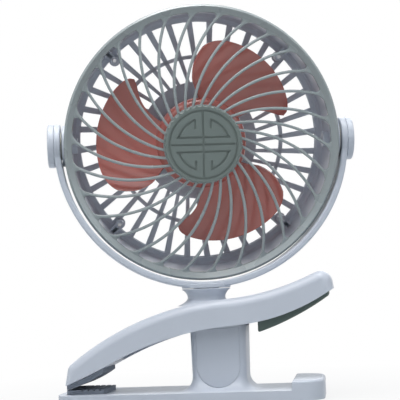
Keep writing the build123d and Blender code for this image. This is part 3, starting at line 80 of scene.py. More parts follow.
# ==================== studio
# Soft light from a large panel overhead and weak ones around, in a surround that is pale
# above and dim below. The surround and the pale floor show white, and the floor keeps a shadow.
bpy.context.scene.view_settings.view_transform = "Standard"
LAMPS = (
    # name, place in mm, what it looks at in mm, size in mm, watts, colour
    ("lamp_overhead", (-60, -200, 900), (0, 0, 90), 560, 7.6, (1.0, 0.99, 0.98)),
    ("lamp_front", (-350, -850, 800), (0, 0, 110), 700, 2.4, (0.90, 0.95, 1.0)),
    ("lamp_rear", (300, 850, 700), (0, 0, 110), 700, 2.4, (0.90, 0.95, 1.0)),
    ("lamp_right", (750, -250, 400), (0, 0, 110), 400, 0.8, (0.90, 0.95, 1.0)),
)
SKY_BELOW = (0.10, 0.115, 0.12, 1)
SKY_ABOVE = (0.64, 0.70, 0.80, 1)
SKY_ABOVE_FROM = 0.75
SKY_STRENGTH = 0.48
WHITE = (1, 1, 1, 1)
FLOOR_COLOUR = (0.50, 0.52, 0.53, 1)
FLOOR_ROUGHNESS = 0.9
FLOOR_SIZE = 6000
FLOOR_DROP = 0.05
SHADOW_REACH = 260  # the floor is plain white for the camera beyond this
SHADOW_WHITENESS = 0.84  # the share of white in the middle of that

for lamp_name, place, target, size, watts, colour in LAMPS:
    bpy.ops.object.light_add(type="AREA", location=Vector(place) * MM)
    lamp = bpy.context.object
    lamp.name = lamp_name
    lamp.rotation_mode = "QUATERNION"
    lamp.rotation_quaternion = (Vector(target) - Vector(place)).to_track_quat("-Z", "Y")
    lamp.data.size = size * MM
    lamp.data.energy = watts
    lamp.data.color = colour


def combined(nodes, links, how, first, second):
    """One value worked out from two."""
    result = nodes.new("ShaderNodeMath")
    result.operation = how
    links.new(first, result.inputs[0])
    links.new(second, result.inputs[1])
    return result.outputs[0]


def shown_white(nodes, links):
    """One where a backdrop is plain white: for the camera, through glass and in reflections."""
    ray = nodes.new("ShaderNodeLightPath").outputs
    seen = combined(nodes, links, "MAXIMUM", ray["Is Camera Ray"], ray["Is Transmission Ray"])
    return combined(nodes, links, "MAXIMUM", seen, ray["Is Glossy Ray"])


def blended(nodes, links, share, first, second):
    """A blend of two shaders, by the share of the second."""
    blend = nodes.new("ShaderNodeMixShader")
    links.new(share, blend.inputs["Fac"])
    links.new(first.outputs[0], blend.inputs[1])
    links.new(second.outputs[0], blend.inputs[2])
    return blend.outputs[0]


world = bpy.data.worlds.new("surround")
bpy.context.scene.world = world
world.use_nodes = True
nodes, links = world.node_tree.nodes, world.node_tree.links
nodes.clear()
facing = nodes.new("ShaderNodeTexCoord")
height = nodes.new("ShaderNodeSeparateXYZ")
links.new(facing.outputs["Generated"], height.inputs["Vector"])
sky = nodes.new("ShaderNodeValToRGB")
sky.color_ramp.elements[0].color = SKY_BELOW
sky.color_ramp.elements[1].position = SKY_ABOVE_FROM
sky.color_ramp.elements[1].color = SKY_ABOVE
links.new(height.outputs["Z"], sky.inputs["Fac"])
ambient = nodes.new("ShaderNodeBackground")
ambient.inputs["Strength"].default_value = SKY_STRENGTH
links.new(sky.outputs["Color"], ambient.inputs["Color"])
white = nodes.new("ShaderNodeBackground")
white.inputs["Color"].default_value = WHITE
world_out = nodes.new("ShaderNodeOutputWorld")
surround = blended(nodes, links, shown_white(nodes, links), ambient, white)
links.new(surround, world_out.inputs["Surface"])

bpy.ops.mesh.primitive_plane_add(size=FLOOR_SIZE * MM, location=(0, 0, -FLOOR_DROP * MM))
floor = bpy.context.object
floor.name = "floor"
floor_paint = bpy.data.materials.new("floor_paint")
floor_paint.use_nodes = True
nodes, links = floor_paint.node_tree.nodes, floor_paint.node_tree.links
paint = nodes["Principled BSDF"]
paint.inputs["Base Color"].default_value = FLOOR_COLOUR
paint.inputs["Roughness"].default_value = FLOOR_ROUGHNESS
glow = nodes.new("ShaderNodeEmission")
glow.inputs["Color"].default_value = WHITE
place = nodes.new("ShaderNodeTexCoord")
spread = nodes.new("ShaderNodeMapping")
spread.inputs["Scale"].default_value = [1 / (SHADOW_REACH * MM)] * 3
near = nodes.new("ShaderNodeTexGradient")
near.gradient_type = "SPHERICAL"
links.new(place.outputs["Object"], spread.inputs["Vector"])
links.new(spread.outputs["Vector"], near.inputs["Vector"])
whiteness = nodes.new("ShaderNodeMapRange")
whiteness.inputs["To Min"].default_value = 1.0
whiteness.inputs["To Max"].default_value = SHADOW_WHITENESS
links.new(near.outputs["Fac"], whiteness.inputs["Value"])
seen_white = combined(
    nodes, links, "MULTIPLY", shown_white(nodes, links), whiteness.outputs["Result"]
)
ground = blended(nodes, links, seen_white, paint, glow)
links.new(ground, nodes["Material Output"].inputs["Surface"])
floor.data.materials.append(floor_paint)

# ==================== front grille: rim and hub
# One moulding in satin plastic, coloured a grey-green darker than the shell as painted shade: a
# dished rim with a skirt that slips over the drum, thirty swept spokes and a flat hub that carries
# the badge. The rim and hub are turned shapes.
RIM_RADIUS = 69.5
RIM_INNER = 65.5
RIM_FRONT = 14.0
RIM_DISHED = 12.1
SKIRT_REAR = 3.0
SKIRT_THICK = 1.0
WEB_THICK = 2.2
HUB_RADIUS = 19.8
HUB_FRONT = 17.0
BOSS_NOTCH = 10.8
RIM_STEPS = 192
HUB_STEPS = 96
FINE_SIDES = 64
SKIRT_EDGE = 0.2
# steps of the small rounds: outwards and forwards from where the edge would be
RIM_LIP_ROUND = ((0, -0.5), (0.15, -0.15), (0.5, 0.1))
RIM_NOSE_ROUND = ((-1.25, -0.05), (-0.95, -0.08), (-0.12, -0.95), (0, -1.25))
HUB_EDGE_ROUND = ((-0.5, 0), (-0.1, -0.15), (0, -0.5))
CLOUD_SCALE = 28
SPECKLE_SCALE = 1800
GRAIN_DEPTH = 0.06
SHEEN_SPREAD = (-0.05, 0.07)
DOUBLED = 0.001  # points nearer to each other than this are one
ALONG_X = (0, pi / 2, 0)


def pick(piece):
    """Makes a piece the only selected one."""
    bpy.ops.object.select_all(action="DESELECT")
    piece.select_set(True)
    bpy.context.view_layer.objects.active = piece


def draw_line(name, points):
    """Draws a line by dropping one point and extruding it along; leaves it in edit mode."""
    bpy.ops.object.select_all(action="DESELECT")
    bpy.ops.mesh.primitive_plane_add(size=1)
    piece = bpy.context.object
    piece.name = name
    bpy.ops.object.mode_set(mode="EDIT")
    bpy.ops.mesh.select_mode(type="VERT")
    bpy.ops.mesh.select_all(action="SELECT")
    bpy.ops.mesh.merge(type="CENTER")
    bpy.ops.transform.translate(value=points[0])
    for here, there in zip(points, points[1:]):
        step = Vector(there) - Vector(here)
        bpy.ops.mesh.extrude_region_move(TRANSFORM_OT_translate={"value": step})
    return piece


def edit_all(piece):
    """Opens a piece in edit mode, with all of it selected."""
    pick(piece)
    bpy.ops.object.mode_set(mode="EDIT")
    bpy.ops.mesh.select_all(action="SELECT")


def settle(piece):
    """Moves a piece's place, turn and scale into its mesh."""
    pick(piece)
    bpy.ops.object.transform_apply(location=True, rotation=True, scale=True)


def close_up():
    """Merges doubled points, turns all faces outwards and leaves edit mode."""
    bpy.ops.mesh.select_all(action="SELECT")
    bpy.ops.mesh.remove_doubles(threshold=DOUBLED)
    bpy.ops.mesh.normals_make_consistent(inside=False)
    bpy.ops.object.mode_set(mode="OBJECT")


def turned(name, outline, steps, sweep=2 * pi, start=0.0):
    """A shape turned about z from (radius, height) points, all the way round or part of it."""
    points = [(radius * cos(start), radius * sin(start), height) for radius, height in outline]
    piece = draw_line(name, points)
    bpy.ops.mesh.select_all(action="SELECT")
    bpy.ops.mesh.spin(steps=steps, angle=-sweep, center=(0, 0, 0), axis=(0, 0, 1))
    close_up()
    return piece


def cut(piece, tool, how="DIFFERENCE"):
    """Cuts a tool shape out of a piece, or joins it on, and throws the tool away."""
    pick(piece)
    knife = piece.modifiers.new("cut", "BOOLEAN")
    knife.operation = how
    knife.object = tool
    knife.solver = "EXACT"
    bpy.ops.object.modifier_apply(modifier=knife.name)
    bpy.data.objects.remove(tool)


def rod(radius, depth, place, turn=(0, 0, 0), sides=32):
    """A round rod with its middle at a place, to cut a hole with or to join on as a post."""
    bpy.ops.mesh.primitive_cylinder_add(
        vertices=sides, radius=radius, depth=depth, location=place, rotation=turn
    )
    return bpy.context.object


def edge_round(radius, height, steps):
    """Points of a small round at an edge of a turned shape."""
    return [(radius + outwards, height + forwards) for outwards, forwards in steps]


def moulded_plastic(name, colour, roughness, grain=0.25, drift=0.05, gloss=0.5):
    """Moulded plastic: a colour that drifts a little, uneven sheen and a mould's fine grain."""
    material = bpy.data.materials.new(name)
    material.use_nodes = True
    nodes, links = material.node_tree.nodes, material.node_tree.links
    shader = nodes["Principled BSDF"]
    shader.inputs["Specular IOR Level"].default_value = gloss
    place = nodes.new("ShaderNodeTexCoord")
    cloud = nodes.new("ShaderNodeTexNoise")
    cloud.inputs["Scale"].default_value = CLOUD_SCALE
    cloud.inputs["Detail"].default_value = 4
    links.new(place.outputs["Object"], cloud.inputs["Vector"])
    shades = nodes.new("ShaderNodeValToRGB")
    linear = [(c / 255) ** 2.2 for c in colour]
    shades.color_ramp.elements[0].position = 0.3
    shades.color_ramp.elements[0].color = [c * (1 - drift) for c in linear] + [1]
    shades.color_ramp.elements[1].position = 0.7
    shades.color_ramp.elements[1].color = [min(c * (1 + drift), 1) for c in linear] + [1]
    links.new(cloud.outputs["Fac"], shades.inputs["Fac"])
    links.new(shades.outputs["Color"], shader.inputs["Base Color"])
    sheen = nodes.new("ShaderNodeMapRange")
    sheen.inputs["To Min"].default_value = roughness + SHEEN_SPREAD[0]
    sheen.inputs["To Max"].default_value = roughness + SHEEN_SPREAD[1]
    links.new(cloud.outputs["Fac"], sheen.inputs["Value"])
    links.new(sheen.outputs["Result"], shader.inputs["Roughness"])
    speckle = nodes.new("ShaderNodeTexNoise")
    speckle.inputs["Scale"].default_value = SPECKLE_SCALE
    speckle.inputs["Detail"].default_value = 2
    links.new(place.outputs["Object"], speckle.inputs["Vector"])
    bump = nodes.new("ShaderNodeBump")
    bump.inputs["Strength"].default_value = grain
    bump.inputs["Distance"].default_value = GRAIN_DEPTH * MM
    links.new(speckle.outputs["Fac"], bump.inputs["Height"])
    links.new(bump.outputs["Normal"], shader.inputs["Normal"])
    return material


# The grille's grey-green, darker than the shell, is painted shade on the same white plastic.
grille_plastic = moulded_plastic("grille_plastic", (148, 157, 158), 0.26, grain=0.15, gloss=0.8)

web_rear = RIM_DISHED - WEB_THICK
rim_section = [
    (RIM_INNER, web_rear),
    *edge_round(RIM_INNER, RIM_DISHED, RIM_LIP_ROUND),
    *edge_round(RIM_RADIUS, RIM_FRONT, RIM_NOSE_ROUND),
    (RIM_RADIUS, SKIRT_REAR + SKIRT_EDGE),
    (RIM_RADIUS - SKIRT_EDGE, SKIRT_REAR),
    (RIM_RADIUS - SKIRT_THICK + SKIRT_EDGE, SKIRT_REAR),
    (RIM_RADIUS - SKIRT_THICK, SKIRT_REAR + SKIRT_EDGE),
    (RIM_RADIUS - SKIRT_THICK, web_rear),
    (RIM_INNER, web_rear),
]
front_grille = turned("front_grille_moulding", rim_section, RIM_STEPS)
for side in (-1, 1):
    notch = rod(BOSS_NOTCH, RIM_RADIUS, (side * RIM_RADIUS, 0, 0), ALONG_X, FINE_SIDES)
    cut(front_grille, notch)

hub_section = [
    (0, HUB_FRONT),
    *edge_round(HUB_RADIUS, HUB_FRONT, HUB_EDGE_ROUND),
    (HUB_RADIUS, HUB_FRONT - WEB_THICK),
    (0, HUB_FRONT - WEB_THICK),
]
grille_hub = turned("grille_hub", hub_section, HUB_STEPS)

# ==================== front grille: spokes
# Each spoke is a slim rounded bar that leaves the hub slantwise, sweeps down the dome in one
# arc, and flows into the rim with a wide round on one side and a tight one on the other.
SPOKES = 30
SPOKE_WIDTH = 1.45
SPOKE_EDGE = 0.6
# steps of a spoke's rounded edge, as shares of its size: in from the side and from the face
SPOKE_EDGE_ROUND = ((0, 1), (0.13, 0.5), (0.5, 0.13), (1, 0))
# radius and degrees clockwise of three places on a spoke
SPOKE_PATH = [(HUB_RADIUS - 1.2, -8.5), (41.5, 11.9), (RIM_INNER + 0.5, 27.9)]
SPOKE_ARC_STEPS = 60
SPOKE_STEPS = 16
LEAN_REACH = 0.5  # a spoke's lean is measured over this much on both sides
WIDE_ROUND = 7.0
TIGHT_ROUND = 1.6
ROOT_LENGTH = 2.9  # of the part that the rounds widen
ROOT_STEPS = 10
ROOT_CROWDING = 1.7  # the steps crowd together towards the rim
CROWN_FRONT = 15.7
joints = {joint["name"]: joint for joint in frame["joints"]}
PIVOT = Vector(joints["head_tilt"]["pos_m"])
TILT_AXIS = Vector(joints["head_tilt"]["axis"]).normalized()
FAN_AXIS = Vector(joints["fan_spin"]["axis"]).normalized()


def own_frame(origin, right, forward):
    """Matrix from a frame in millimetres, with z forward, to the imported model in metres."""
    up = forward.cross(right)
    turn = Matrix((right, up, forward)).transposed().to_4x4()
    return Matrix.Translation(origin) @ turn @ Matrix.Scale(MM, 4)


def joined(pieces):
    """Joins pieces into the first."""
    pick(pieces[0])
    for piece in pieces:
        piece.select_set(True)
    bpy.ops.object.join()
    return pieces[0]


def copies_round(piece, count):
    """Copies a piece round the z axis, each with a mesh of its own."""
    ring = [piece]
    for number in range(1, count):
        pick(piece)
        bpy.ops.object.duplicate()
        other = bpy.context.object
        other.data.transform(Matrix.Rotation(2 * pi * number / count, 4, "Z"))
        ring.append(other)
    return ring


def seat(piece, place, angle=35):
    """Puts a piece drawn in millimetres where its frame is, with soft shading up to an angle."""
    piece.matrix_world = place
    settle(piece)
    bpy.ops.object.shade_smooth_by_angle(angle=radians(angle))
    weighted = piece.modifiers.new("facets", "WEIGHTED_NORMAL")
    weighted.keep_sharp = True
    bpy.ops.object.modifier_apply(modifier=weighted.name)


def dress(piece, material):
    """Gives a piece one material all over."""
    piece.data.materials.clear()
    piece.data.materials.append(material)


def arc_through(first, middle, last, count):
    """Points along the arc through three flat points."""
    a, b, c = (Vector(p) for p in (first, middle, last))
    ab, bc = b - a, c - b
    twice = 2 * (ab.x * bc.y - ab.y * bc.x)
    square_a, square_b, square_c = a.dot(a), b.dot(b), c.dot(c)
    centre = Vector((
        ((square_b - square_a) * bc.y - (square_c - square_b) * ab.y) / twice,
        ((square_c - square_b) * ab.x - (square_b - square_a) * bc.x) / twice,
    ))
    sweep = (a - centre).angle_signed(c - centre)
    spots = []
    for number in range(count + 1):
        spoke = (a - centre).copy()
        spoke.rotate(Matrix.Rotation(-sweep * number / count, 2))
        spots.append(centre + spoke)
    return spots


def height_at(line, x):
    """Height of a line of points at x."""
    line = sorted(line, key=lambda p: p[0])
    for low, high in zip(line, line[1:]):
        if low[0] <= x <= high[0]:
            return low[1] + (high[1] - low[1]) * (x - low[0]) / (high[0] - low[0])
    return line[0][1] if x < line[0][0] else line[-1][1]


def clockwise_point(radius, angle):
    """Flat point at a radius and a clockwise angle in degrees."""
    return (radius * cos(radians(angle)), -radius * sin(radians(angle)))


def dome_height(radius):
    """Front of the dome at a radius: an arc from the hub's edge over the crown to the rim."""
    share = (radius - HUB_RADIUS) / (RIM_INNER - HUB_RADIUS)
    share = min(max(share, 0), 1)
    straight = HUB_FRONT + (RIM_DISHED - HUB_FRONT) * share
    crown = CROWN_FRONT - (HUB_FRONT + RIM_DISHED) / 2
    return straight + 4 * crown * share * (1 - share)


def rim_round(radius, size, lean):
    """How far the round between the rim and one side of a leaning spoke widens it at a radius."""
    left = max(RIM_INNER - radius, 0)
    slant = sqrt(1 + lean ** 2)
    if left > size * (1 - lean / slant):
        return 0
    return size * (slant - lean) + lean * left - sqrt(size ** 2 - (size - left) ** 2)


def spoke_place(radius):
    """Middle of a spoke, half its width along the circle, and its angle, at a radius."""
    before, after = (
        height_at(spoke_turns, radius + step) for step in (-LEAN_REACH, LEAN_REACH)
    )
    lean = radius * radians(after - before) / (2 * LEAN_REACH)
    wide = rim_round(radius, WIDE_ROUND, rim_lean)
    tight = rim_round(radius, TIGHT_ROUND, -rim_lean)
    angle = radians(height_at(spoke_turns, radius)) + (wide - tight) / 2 / radius
    half = SPOKE_WIDTH / 2 * sqrt(1 + lean ** 2) + (wide + tight) / 2
    middle = dome_height(radius) - WEB_THICK / 2
    return Vector((radius * cos(angle), -radius * sin(angle), middle)), half, angle


HEAD = own_frame(PIVOT, TILT_AXIS, FAN_AXIS)

spoke_arc = arc_through(*[clockwise_point(*spot) for spot in SPOKE_PATH], SPOKE_ARC_STEPS)
spoke_turns = [(spot.length, degrees(-spot.angle_signed(Vector((1, 0))))) for spot in spoke_arc]
near_rim = RIM_INNER - 1
rim_turn = spoke_turns[-1][1] - height_at(spoke_turns, near_rim)
rim_lean = RIM_INNER * radians(rim_turn) / (SPOKE_PATH[-1][0] - near_rim)
radii = [SPOKE_PATH[0][0]]
root_start = RIM_INNER - ROOT_LENGTH
for number in range(1, SPOKE_STEPS + 1):
    radii.append(radii[0] + (root_start - radii[0]) * number / SPOKE_STEPS)
for number in range(1, ROOT_STEPS + 1):
    radii.append(RIM_INNER - ROOT_LENGTH * (1 - number / ROOT_STEPS) ** ROOT_CROWDING)
radii.append(SPOKE_PATH[-1][0])

here, half, angle = spoke_place(radii[0])
across = Vector((-sin(angle), -cos(angle), 0))
half_depth = WEB_THICK / 2
section = []
for side, face in ((1, -1), (1, 1), (-1, 1), (-1, -1)):
    edge = [
        (half - SPOKE_EDGE * aside, half_depth - SPOKE_EDGE * back)
        for aside, back in SPOKE_EDGE_ROUND
    ]
    for wide, deep in (edge[::-1] if side * face < 0 else edge):
        section.append(here + across * side * wide + Vector((0, 0, face * deep)))
spoke = draw_line("grille_spoke", section)
bpy.ops.mesh.select_all(action="SELECT")
bpy.ops.mesh.edge_face_add()
for radius in radii[1:]:
    there, next_half, next_angle = spoke_place(radius)
    bpy.ops.mesh.extrude_region_move(TRANSFORM_OT_translate={"value": there - here})
    bpy.ops.transform.rotate(value=next_angle - angle, orient_axis="Z", center_override=there)
    wider = next_half / half
    bpy.ops.transform.resize(value=(wider, wider, 1), center_override=there)
    here, half, angle = there, next_half, next_angle
close_up()
front_grille = joined([front_grille, grille_hub, *copies_round(spoke, SPOKES)])
front_grille.name = "front_grille_moulding"
seat(front_grille, HEAD)
dress(front_grille, grille_plastic)
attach(front_grille, "fan_head")
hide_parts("front_grille")

# ==================== hub badge
# A grey-green cap stuck on the hub, darker partly by its own tone and partly by painted shade, with
# a scalloped edge like a coin's and a plain lattice roundel pressed into its face: a ring, a middle
# upright, three bars and four frets.
BADGE_RADIUS = 20.0
BADGE_FRONT = 19.4
BADGE_REAR = 17.0
SCALLOPS = 40
SCALLOP_DEPTH = 0.85
POINTS_PER_SCALLOP = 8
BADGE_EDGE_ROUND = ((0.4, 0.993), (0.25, 0.986), (0.1, 0.984))  # rise, and how much narrower
BADGE_SOFTENING = 0.2
GROOVE = 1.0
GROOVE_DEPTH = 0.75
GROOVE_STEPS = 128
CROSS_SHIFT = 0.01  # keeps the sides of crossing grooves off each other's ends
LATTICE_RADIUS = 17.4
LATTICE_BAR = 3.6
LATTICE_BAR_HALF = 13.4
FRET_RADIUS = 12.8
FRET_SIDE = 3.4
FRET_HOOK = 4.8
FRET_DEPTH = GROOVE_DEPTH * 0.98
FRET_STEPS = 12

# The cap's dark grey-green is partly its own tone and partly painted shade.
badge_plastic = moulded_plastic("badge_plastic", (114, 125, 121), 0.34, grain=0.15, gloss=0.5)

bpy.ops.mesh.primitive_circle_add(
    vertices=SCALLOPS * POINTS_PER_SCALLOP,
    radius=BADGE_RADIUS,
    fill_type="NGON",
    location=(0, 0, BADGE_REAR),
)
badge = bpy.context.object
badge.name = "hub_badge_cap"
settle(badge)
for number, vertex in enumerate(badge.data.vertices):
    share = number % POINTS_PER_SCALLOP / POINTS_PER_SCALLOP
    pressed = SCALLOP_DEPTH * sqrt(max(0, 1 - (2 * share - 1) ** 2))
    vertex.co.xy *= 1 - pressed / BADGE_RADIUS
edit_all(badge)
straight = BADGE_FRONT - BADGE_REAR - sum(lift for lift, narrower in BADGE_EDGE_ROUND)
bpy.ops.mesh.extrude_region_move(TRANSFORM_OT_translate={"value": (0, 0, straight)})
for lift, narrower in BADGE_EDGE_ROUND:
    bpy.ops.mesh.extrude_region_move(TRANSFORM_OT_translate={"value": (0, 0, lift)})
    bpy.ops.transform.resize(value=(narrower, narrower, 1), center_override=(0, 0, BADGE_FRONT))
close_up()


def block(place, size):
    """A block of a size, with its middle at a place."""
    bpy.ops.mesh.primitive_cube_add(size=1, location=place)
    piece = bpy.context.object
    piece.scale = size
    settle(piece)
    return piece


def groove_box(x, y, width, height):
    """A bar that cuts one straight groove of the lattice."""
    return block((x, y, BADGE_FRONT), (width, height, 2 * GROOVE_DEPTH))


def capped(piece):
    """Closes the open ends of a piece."""
    edit_all(piece)
    bpy.ops.mesh.select_all(action="DESELECT")
    bpy.ops.mesh.select_non_manifold()
    bpy.ops.mesh.fill_holes(sides=0)
    close_up()


def groove_arc(radius, start, sweep, steps, depth):
    """A bar that cuts one round groove of the lattice."""
    inner, outer = radius - GROOVE / 2, radius + GROOVE / 2
    low, high = BADGE_FRONT - depth, BADGE_FRONT + GROOVE_DEPTH
    outline = [(inner, low), (outer, low), (outer, high), (inner, high), (inner, low)]
    bar = turned("groove", outline, steps, sweep, start)
    capped(bar)
    return bar


def rounded(piece, width, angle, segments=3):
    """Rounds the piece's sharp edges with a bevel."""
    pick(piece)
    edge = piece.modifiers.new("edges", "BEVEL")
    edge.width = width
    edge.segments = segments
    edge.limit_method = "ANGLE"
    edge.angle_limit = radians(angle)
    bpy.ops.object.modifier_apply(modifier=edge.name)


ring_middle = LATTICE_RADIUS - GROOVE / 2
cut(badge, groove_arc(ring_middle, 0, 2 * pi, GROOVE_STEPS, GROOVE_DEPTH))
cut(badge, groove_box(0, 0, GROOVE, 2 * ring_middle))
cut(badge, groove_box(0, CROSS_SHIFT, 2 * (ring_middle - GROOVE), GROOVE))
for level in (-LATTICE_BAR, LATTICE_BAR):
    cut(badge, groove_box(0, level, 2 * LATTICE_BAR_HALF, GROOVE))
arc_from = asin(LATTICE_BAR / FRET_RADIUS)
arc_to = pi / 2 - asin((FRET_SIDE + GROOVE / 2) / FRET_RADIUS)
for side in (-1, 1):
    for level in (-1, 1):
        start = arc_from if side * level > 0 else pi - arc_to
        start += 0 if level > 0 else pi
        cut(badge, groove_arc(FRET_RADIUS, start, arc_to - arc_from, FRET_STEPS, FRET_DEPTH))
        hook_y = level * (FRET_RADIUS - FRET_HOOK / 2)
        cut(badge, groove_box(side * (FRET_SIDE + GROOVE / 2), hook_y, GROOVE, FRET_HOOK))
rounded(badge, BADGE_SOFTENING, 50, 2)
seat(badge, HEAD, 40)
dress(badge, badge_plastic)
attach(badge, "fan_head")
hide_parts("hub_badge")

# ==================== impeller
# Three broad petals on a round cup, one moulding in clear-tinted salmon plastic with a gloss.
# A petal is a pitched sheet, steeper at the root, that widens from the cup and ends in a broad
# round at its leading side and a fuller, tighter corner at its trailing side.
CUP_RADIUS = 23.0
CUP_FRONT = 8.0
CUP_REAR = -7.0
CUP_WALL = 1.6
CUP_ROUND = 4.0
CUP_FILLET = 2.0
CUP_REAR_EDGE = 0.3
SHAFT_BOSS = 3.0
SHAFT_BOSS_LENGTH = 3.6
SHAFT_BORE = 1.05
PETALS = 3
PETAL_START = radians(59.5)
PETAL_ROOT = 22.0
PETAL_THICK = 1.4
PETAL_EDGE = 0.45
PETAL_ROWS, PETAL_LANES = 30, 48
FAN_PLANE = -1.0
ROOT_SLOPE = tan(radians(30))
TIP_SLOPE = tan(radians(15))
SLOPE_FROM = 11.5
SLOPE_TO = 55.4
# share of the way out, degrees from the petal's middle
LEADING_EDGE = [(0, 32), (0.13, 34), (0.38, 37.2), (0.57, 36.8), (0.81, 34.5), (1, 31.2)]
TRAILING_EDGE = [
    (0, -27.5), (0.12, -28.3), (0.28, -30), (0.45, -32.3), (0.63, -36), (0.87, -42.3), (1, -44.3),
]
# share of the way across from the leading edge, radius of the outer edge
OUTER_EDGE = [
    (0, 45.5), (0.05, 49.4), (0.14, 52.3), (0.25, 53.4), (0.43, 53.6), (0.6, 53.2), (0.77, 52.2),
    (0.905, 50.7), (0.975, 48.9), (1, 46.6),
]

blade_plastic = moulded_plastic(
    "blade_plastic", (194, 108, 98), 0.2, grain=0.04, drift=0.06, gloss=0.6
)
blade_shader = blade_plastic.node_tree.nodes["Principled BSDF"]
blade_shader.inputs["Subsurface Weight"].default_value = 0.12
blade_shader.inputs["Subsurface Radius"].default_value = (0.004, 0.0015, 0.001)
blade_shader.inputs["Coat Weight"].default_value = 0.35
blade_shader.inputs["Coat Roughness"].default_value = 0.12


def eased(table, share):
    """Value at a share of the way along a short table, on a smooth curve through its pairs."""
    last = len(table) - 1
    index = min(max(n for n in range(last + 1) if table[n][0] <= max(share, 0)), last - 1)
    (low, first), (high, second) = table[index], table[index + 1]
    before, after = table[max(index - 1, 0)], table[min(index + 2, last)]
    span = high - low
    rise = (second - before[1]) / (high - before[0]) * span
    fall = (after[1] - first) / (after[0] - low) * span
    t = (share - low) / span
    return (
        first * (2 * t ** 3 - 3 * t ** 2 + 1) + rise * (t ** 3 - 2 * t ** 2 + t)
        + second * (3 * t ** 2 - 2 * t ** 3) + fall * (t ** 3 - t ** 2)
    )


bpy.ops.mesh.primitive_grid_add(x_subdivisions=PETAL_ROWS, y_subdivisions=PETAL_LANES, size=2)
petal = bpy.context.object
petal.name = "impeller_petal"
for vertex in petal.data.vertices:
    out, over = (vertex.co.x + 1) / 2, (1 - vertex.co.y) / 2
    leading, trailing = eased(LEADING_EDGE, out), eased(TRAILING_EDGE, out)
    angle = radians(leading + (trailing - leading) * over)
    radius = PETAL_ROOT + (eased(OUTER_EDGE, over) - PETAL_ROOT) * out
    along, aside = radius * cos(angle), radius * sin(angle)
    share = (along - SLOPE_FROM) / (SLOPE_TO - SLOPE_FROM)
    slope = ROOT_SLOPE + (TIP_SLOPE - ROOT_SLOPE) * share
    vertex.co = (along, aside, FAN_PLANE + slope * aside)
pick(petal)
sheet = petal.modifiers.new("thickness", "SOLIDIFY")
sheet.thickness = PETAL_THICK
sheet.offset = 0
bpy.ops.object.modifier_apply(modifier=sheet.name)
rounded(petal, PETAL_EDGE, 60, 3)
petal.data.transform(Matrix.Rotation(PETAL_START, 4, "Z"))


def round_corner(x, y, radius, start, steps=4):
    """Points of a quarter round about (x, y), from a start angle in degrees."""
    angles = [radians(start + 90 * number / steps) for number in range(steps + 1)]
    return [(x + radius * cos(angle), y + radius * sin(angle)) for angle in angles]


cup_roof = CUP_FRONT - CUP_WALL
cup_outline = [
    (0, CUP_FRONT),
    *round_corner(CUP_RADIUS - CUP_ROUND, CUP_FRONT - CUP_ROUND, CUP_ROUND, 0, steps=8)[::-1],
    (CUP_RADIUS, CUP_REAR + CUP_REAR_EDGE),
    (CUP_RADIUS - CUP_REAR_EDGE, CUP_REAR),
    (CUP_RADIUS - CUP_WALL, CUP_REAR),
    (CUP_RADIUS - CUP_WALL, cup_roof - CUP_FILLET),
    (CUP_RADIUS - CUP_WALL - CUP_FILLET, cup_roof),
    (SHAFT_BOSS, cup_roof),
    (SHAFT_BOSS, cup_roof - SHAFT_BOSS_LENGTH),
    (SHAFT_BORE, cup_roof - SHAFT_BOSS_LENGTH),
    (SHAFT_BORE, cup_roof),
    (0, cup_roof),
]
cup = turned("impeller_cup", cup_outline, HUB_STEPS)
impeller = joined([cup, *copies_round(petal, PETALS)])
impeller.name = "impeller_moulding"
seat(impeller, HEAD, 40)
dress(impeller, blade_plastic)
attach(impeller, "rotor")
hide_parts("impeller")

# ==================== drum
# The housing ring of the head, moulded in white satin plastic. Its wall tucks in at the back
# where the rear grille sits, a round boss on each side takes the tilt screw, and four small
# posts inside take the rear grille's screws.
DRUM_RADIUS = 68.2
DRUM_INNER = 66.2
DRUM_FRONT = 10.6
DRUM_BEND = -10.0
HEAD_REAR = -20.0
REAR_RIM = 63.55
REAR_SEAT = -18.0
REAR_OPEN = 62.5
REAR_TUCK = 2.0
REAR_EDGE = (1.4, 0.3)
BEND_STEPS = 8
LIP_FRONT = -16.6
LIP_SLANT = 1.4
BOSS_FACE = 70.6
BOSS_RADIUS = 10.5
BOSS_SUNK = 0.3
BOSS_EDGE = 0.5
BOSS_STEPS = 72
TILT_POST = 4.0
TILT_POST_REACH = 3.2
TILT_POST_SUNK = 1
POST_SIDES = 48
TILT_BORE = 2.05
TILT_BORE_LENGTH = 18
SCREW_POSTS = 4
SCREW_POST_RING = 60.6
SCREW_POST = 2.25
SCREW_POST_LENGTH = 7.0
SCREW_HOLE = 1.05
SCREW_HOLE_EDGE = 0.2
SCREW_STEPS = 32
TIE_SIZE = (5.4, 1.0)  # length and width of the webs that tie a post to the wall
TIE_OUTWARDS = 3.4
TIE_ASIDE = 1.4
TIE_ABOVE_SEAT = 0.4
TIE_BELOW_FRONT = 0.8

shell_plastic = moulded_plastic("shell_plastic", (198, 204, 214), 0.38, grain=0.22, drift=0.03)

drum_outline = [(DRUM_RADIUS, DRUM_FRONT), (DRUM_RADIUS, DRUM_BEND)]
bend_depth = DRUM_BEND - HEAD_REAR
bend_in = DRUM_RADIUS - REAR_RIM - REAR_TUCK
bend_radius = (bend_depth ** 2 + bend_in ** 2) / (2 * bend_in)
for number in range(1, BEND_STEPS + 1):
    drop = bend_depth * number / BEND_STEPS
    inwards = bend_radius - sqrt(bend_radius ** 2 - drop ** 2)
    drum_outline.append((DRUM_RADIUS - inwards, DRUM_BEND - drop))
drum_outline += [
    (REAR_RIM + REAR_EDGE[0], HEAD_REAR),
    (REAR_RIM, HEAD_REAR + REAR_EDGE[1]),
    (REAR_RIM, REAR_SEAT),
    (REAR_OPEN, REAR_SEAT),
    (REAR_OPEN, LIP_FRONT),
    (DRUM_INNER - LIP_SLANT, LIP_FRONT),
    (DRUM_INNER, LIP_FRONT + LIP_SLANT),
    (DRUM_INNER, DRUM_FRONT),
    (DRUM_RADIUS, DRUM_FRONT),
]
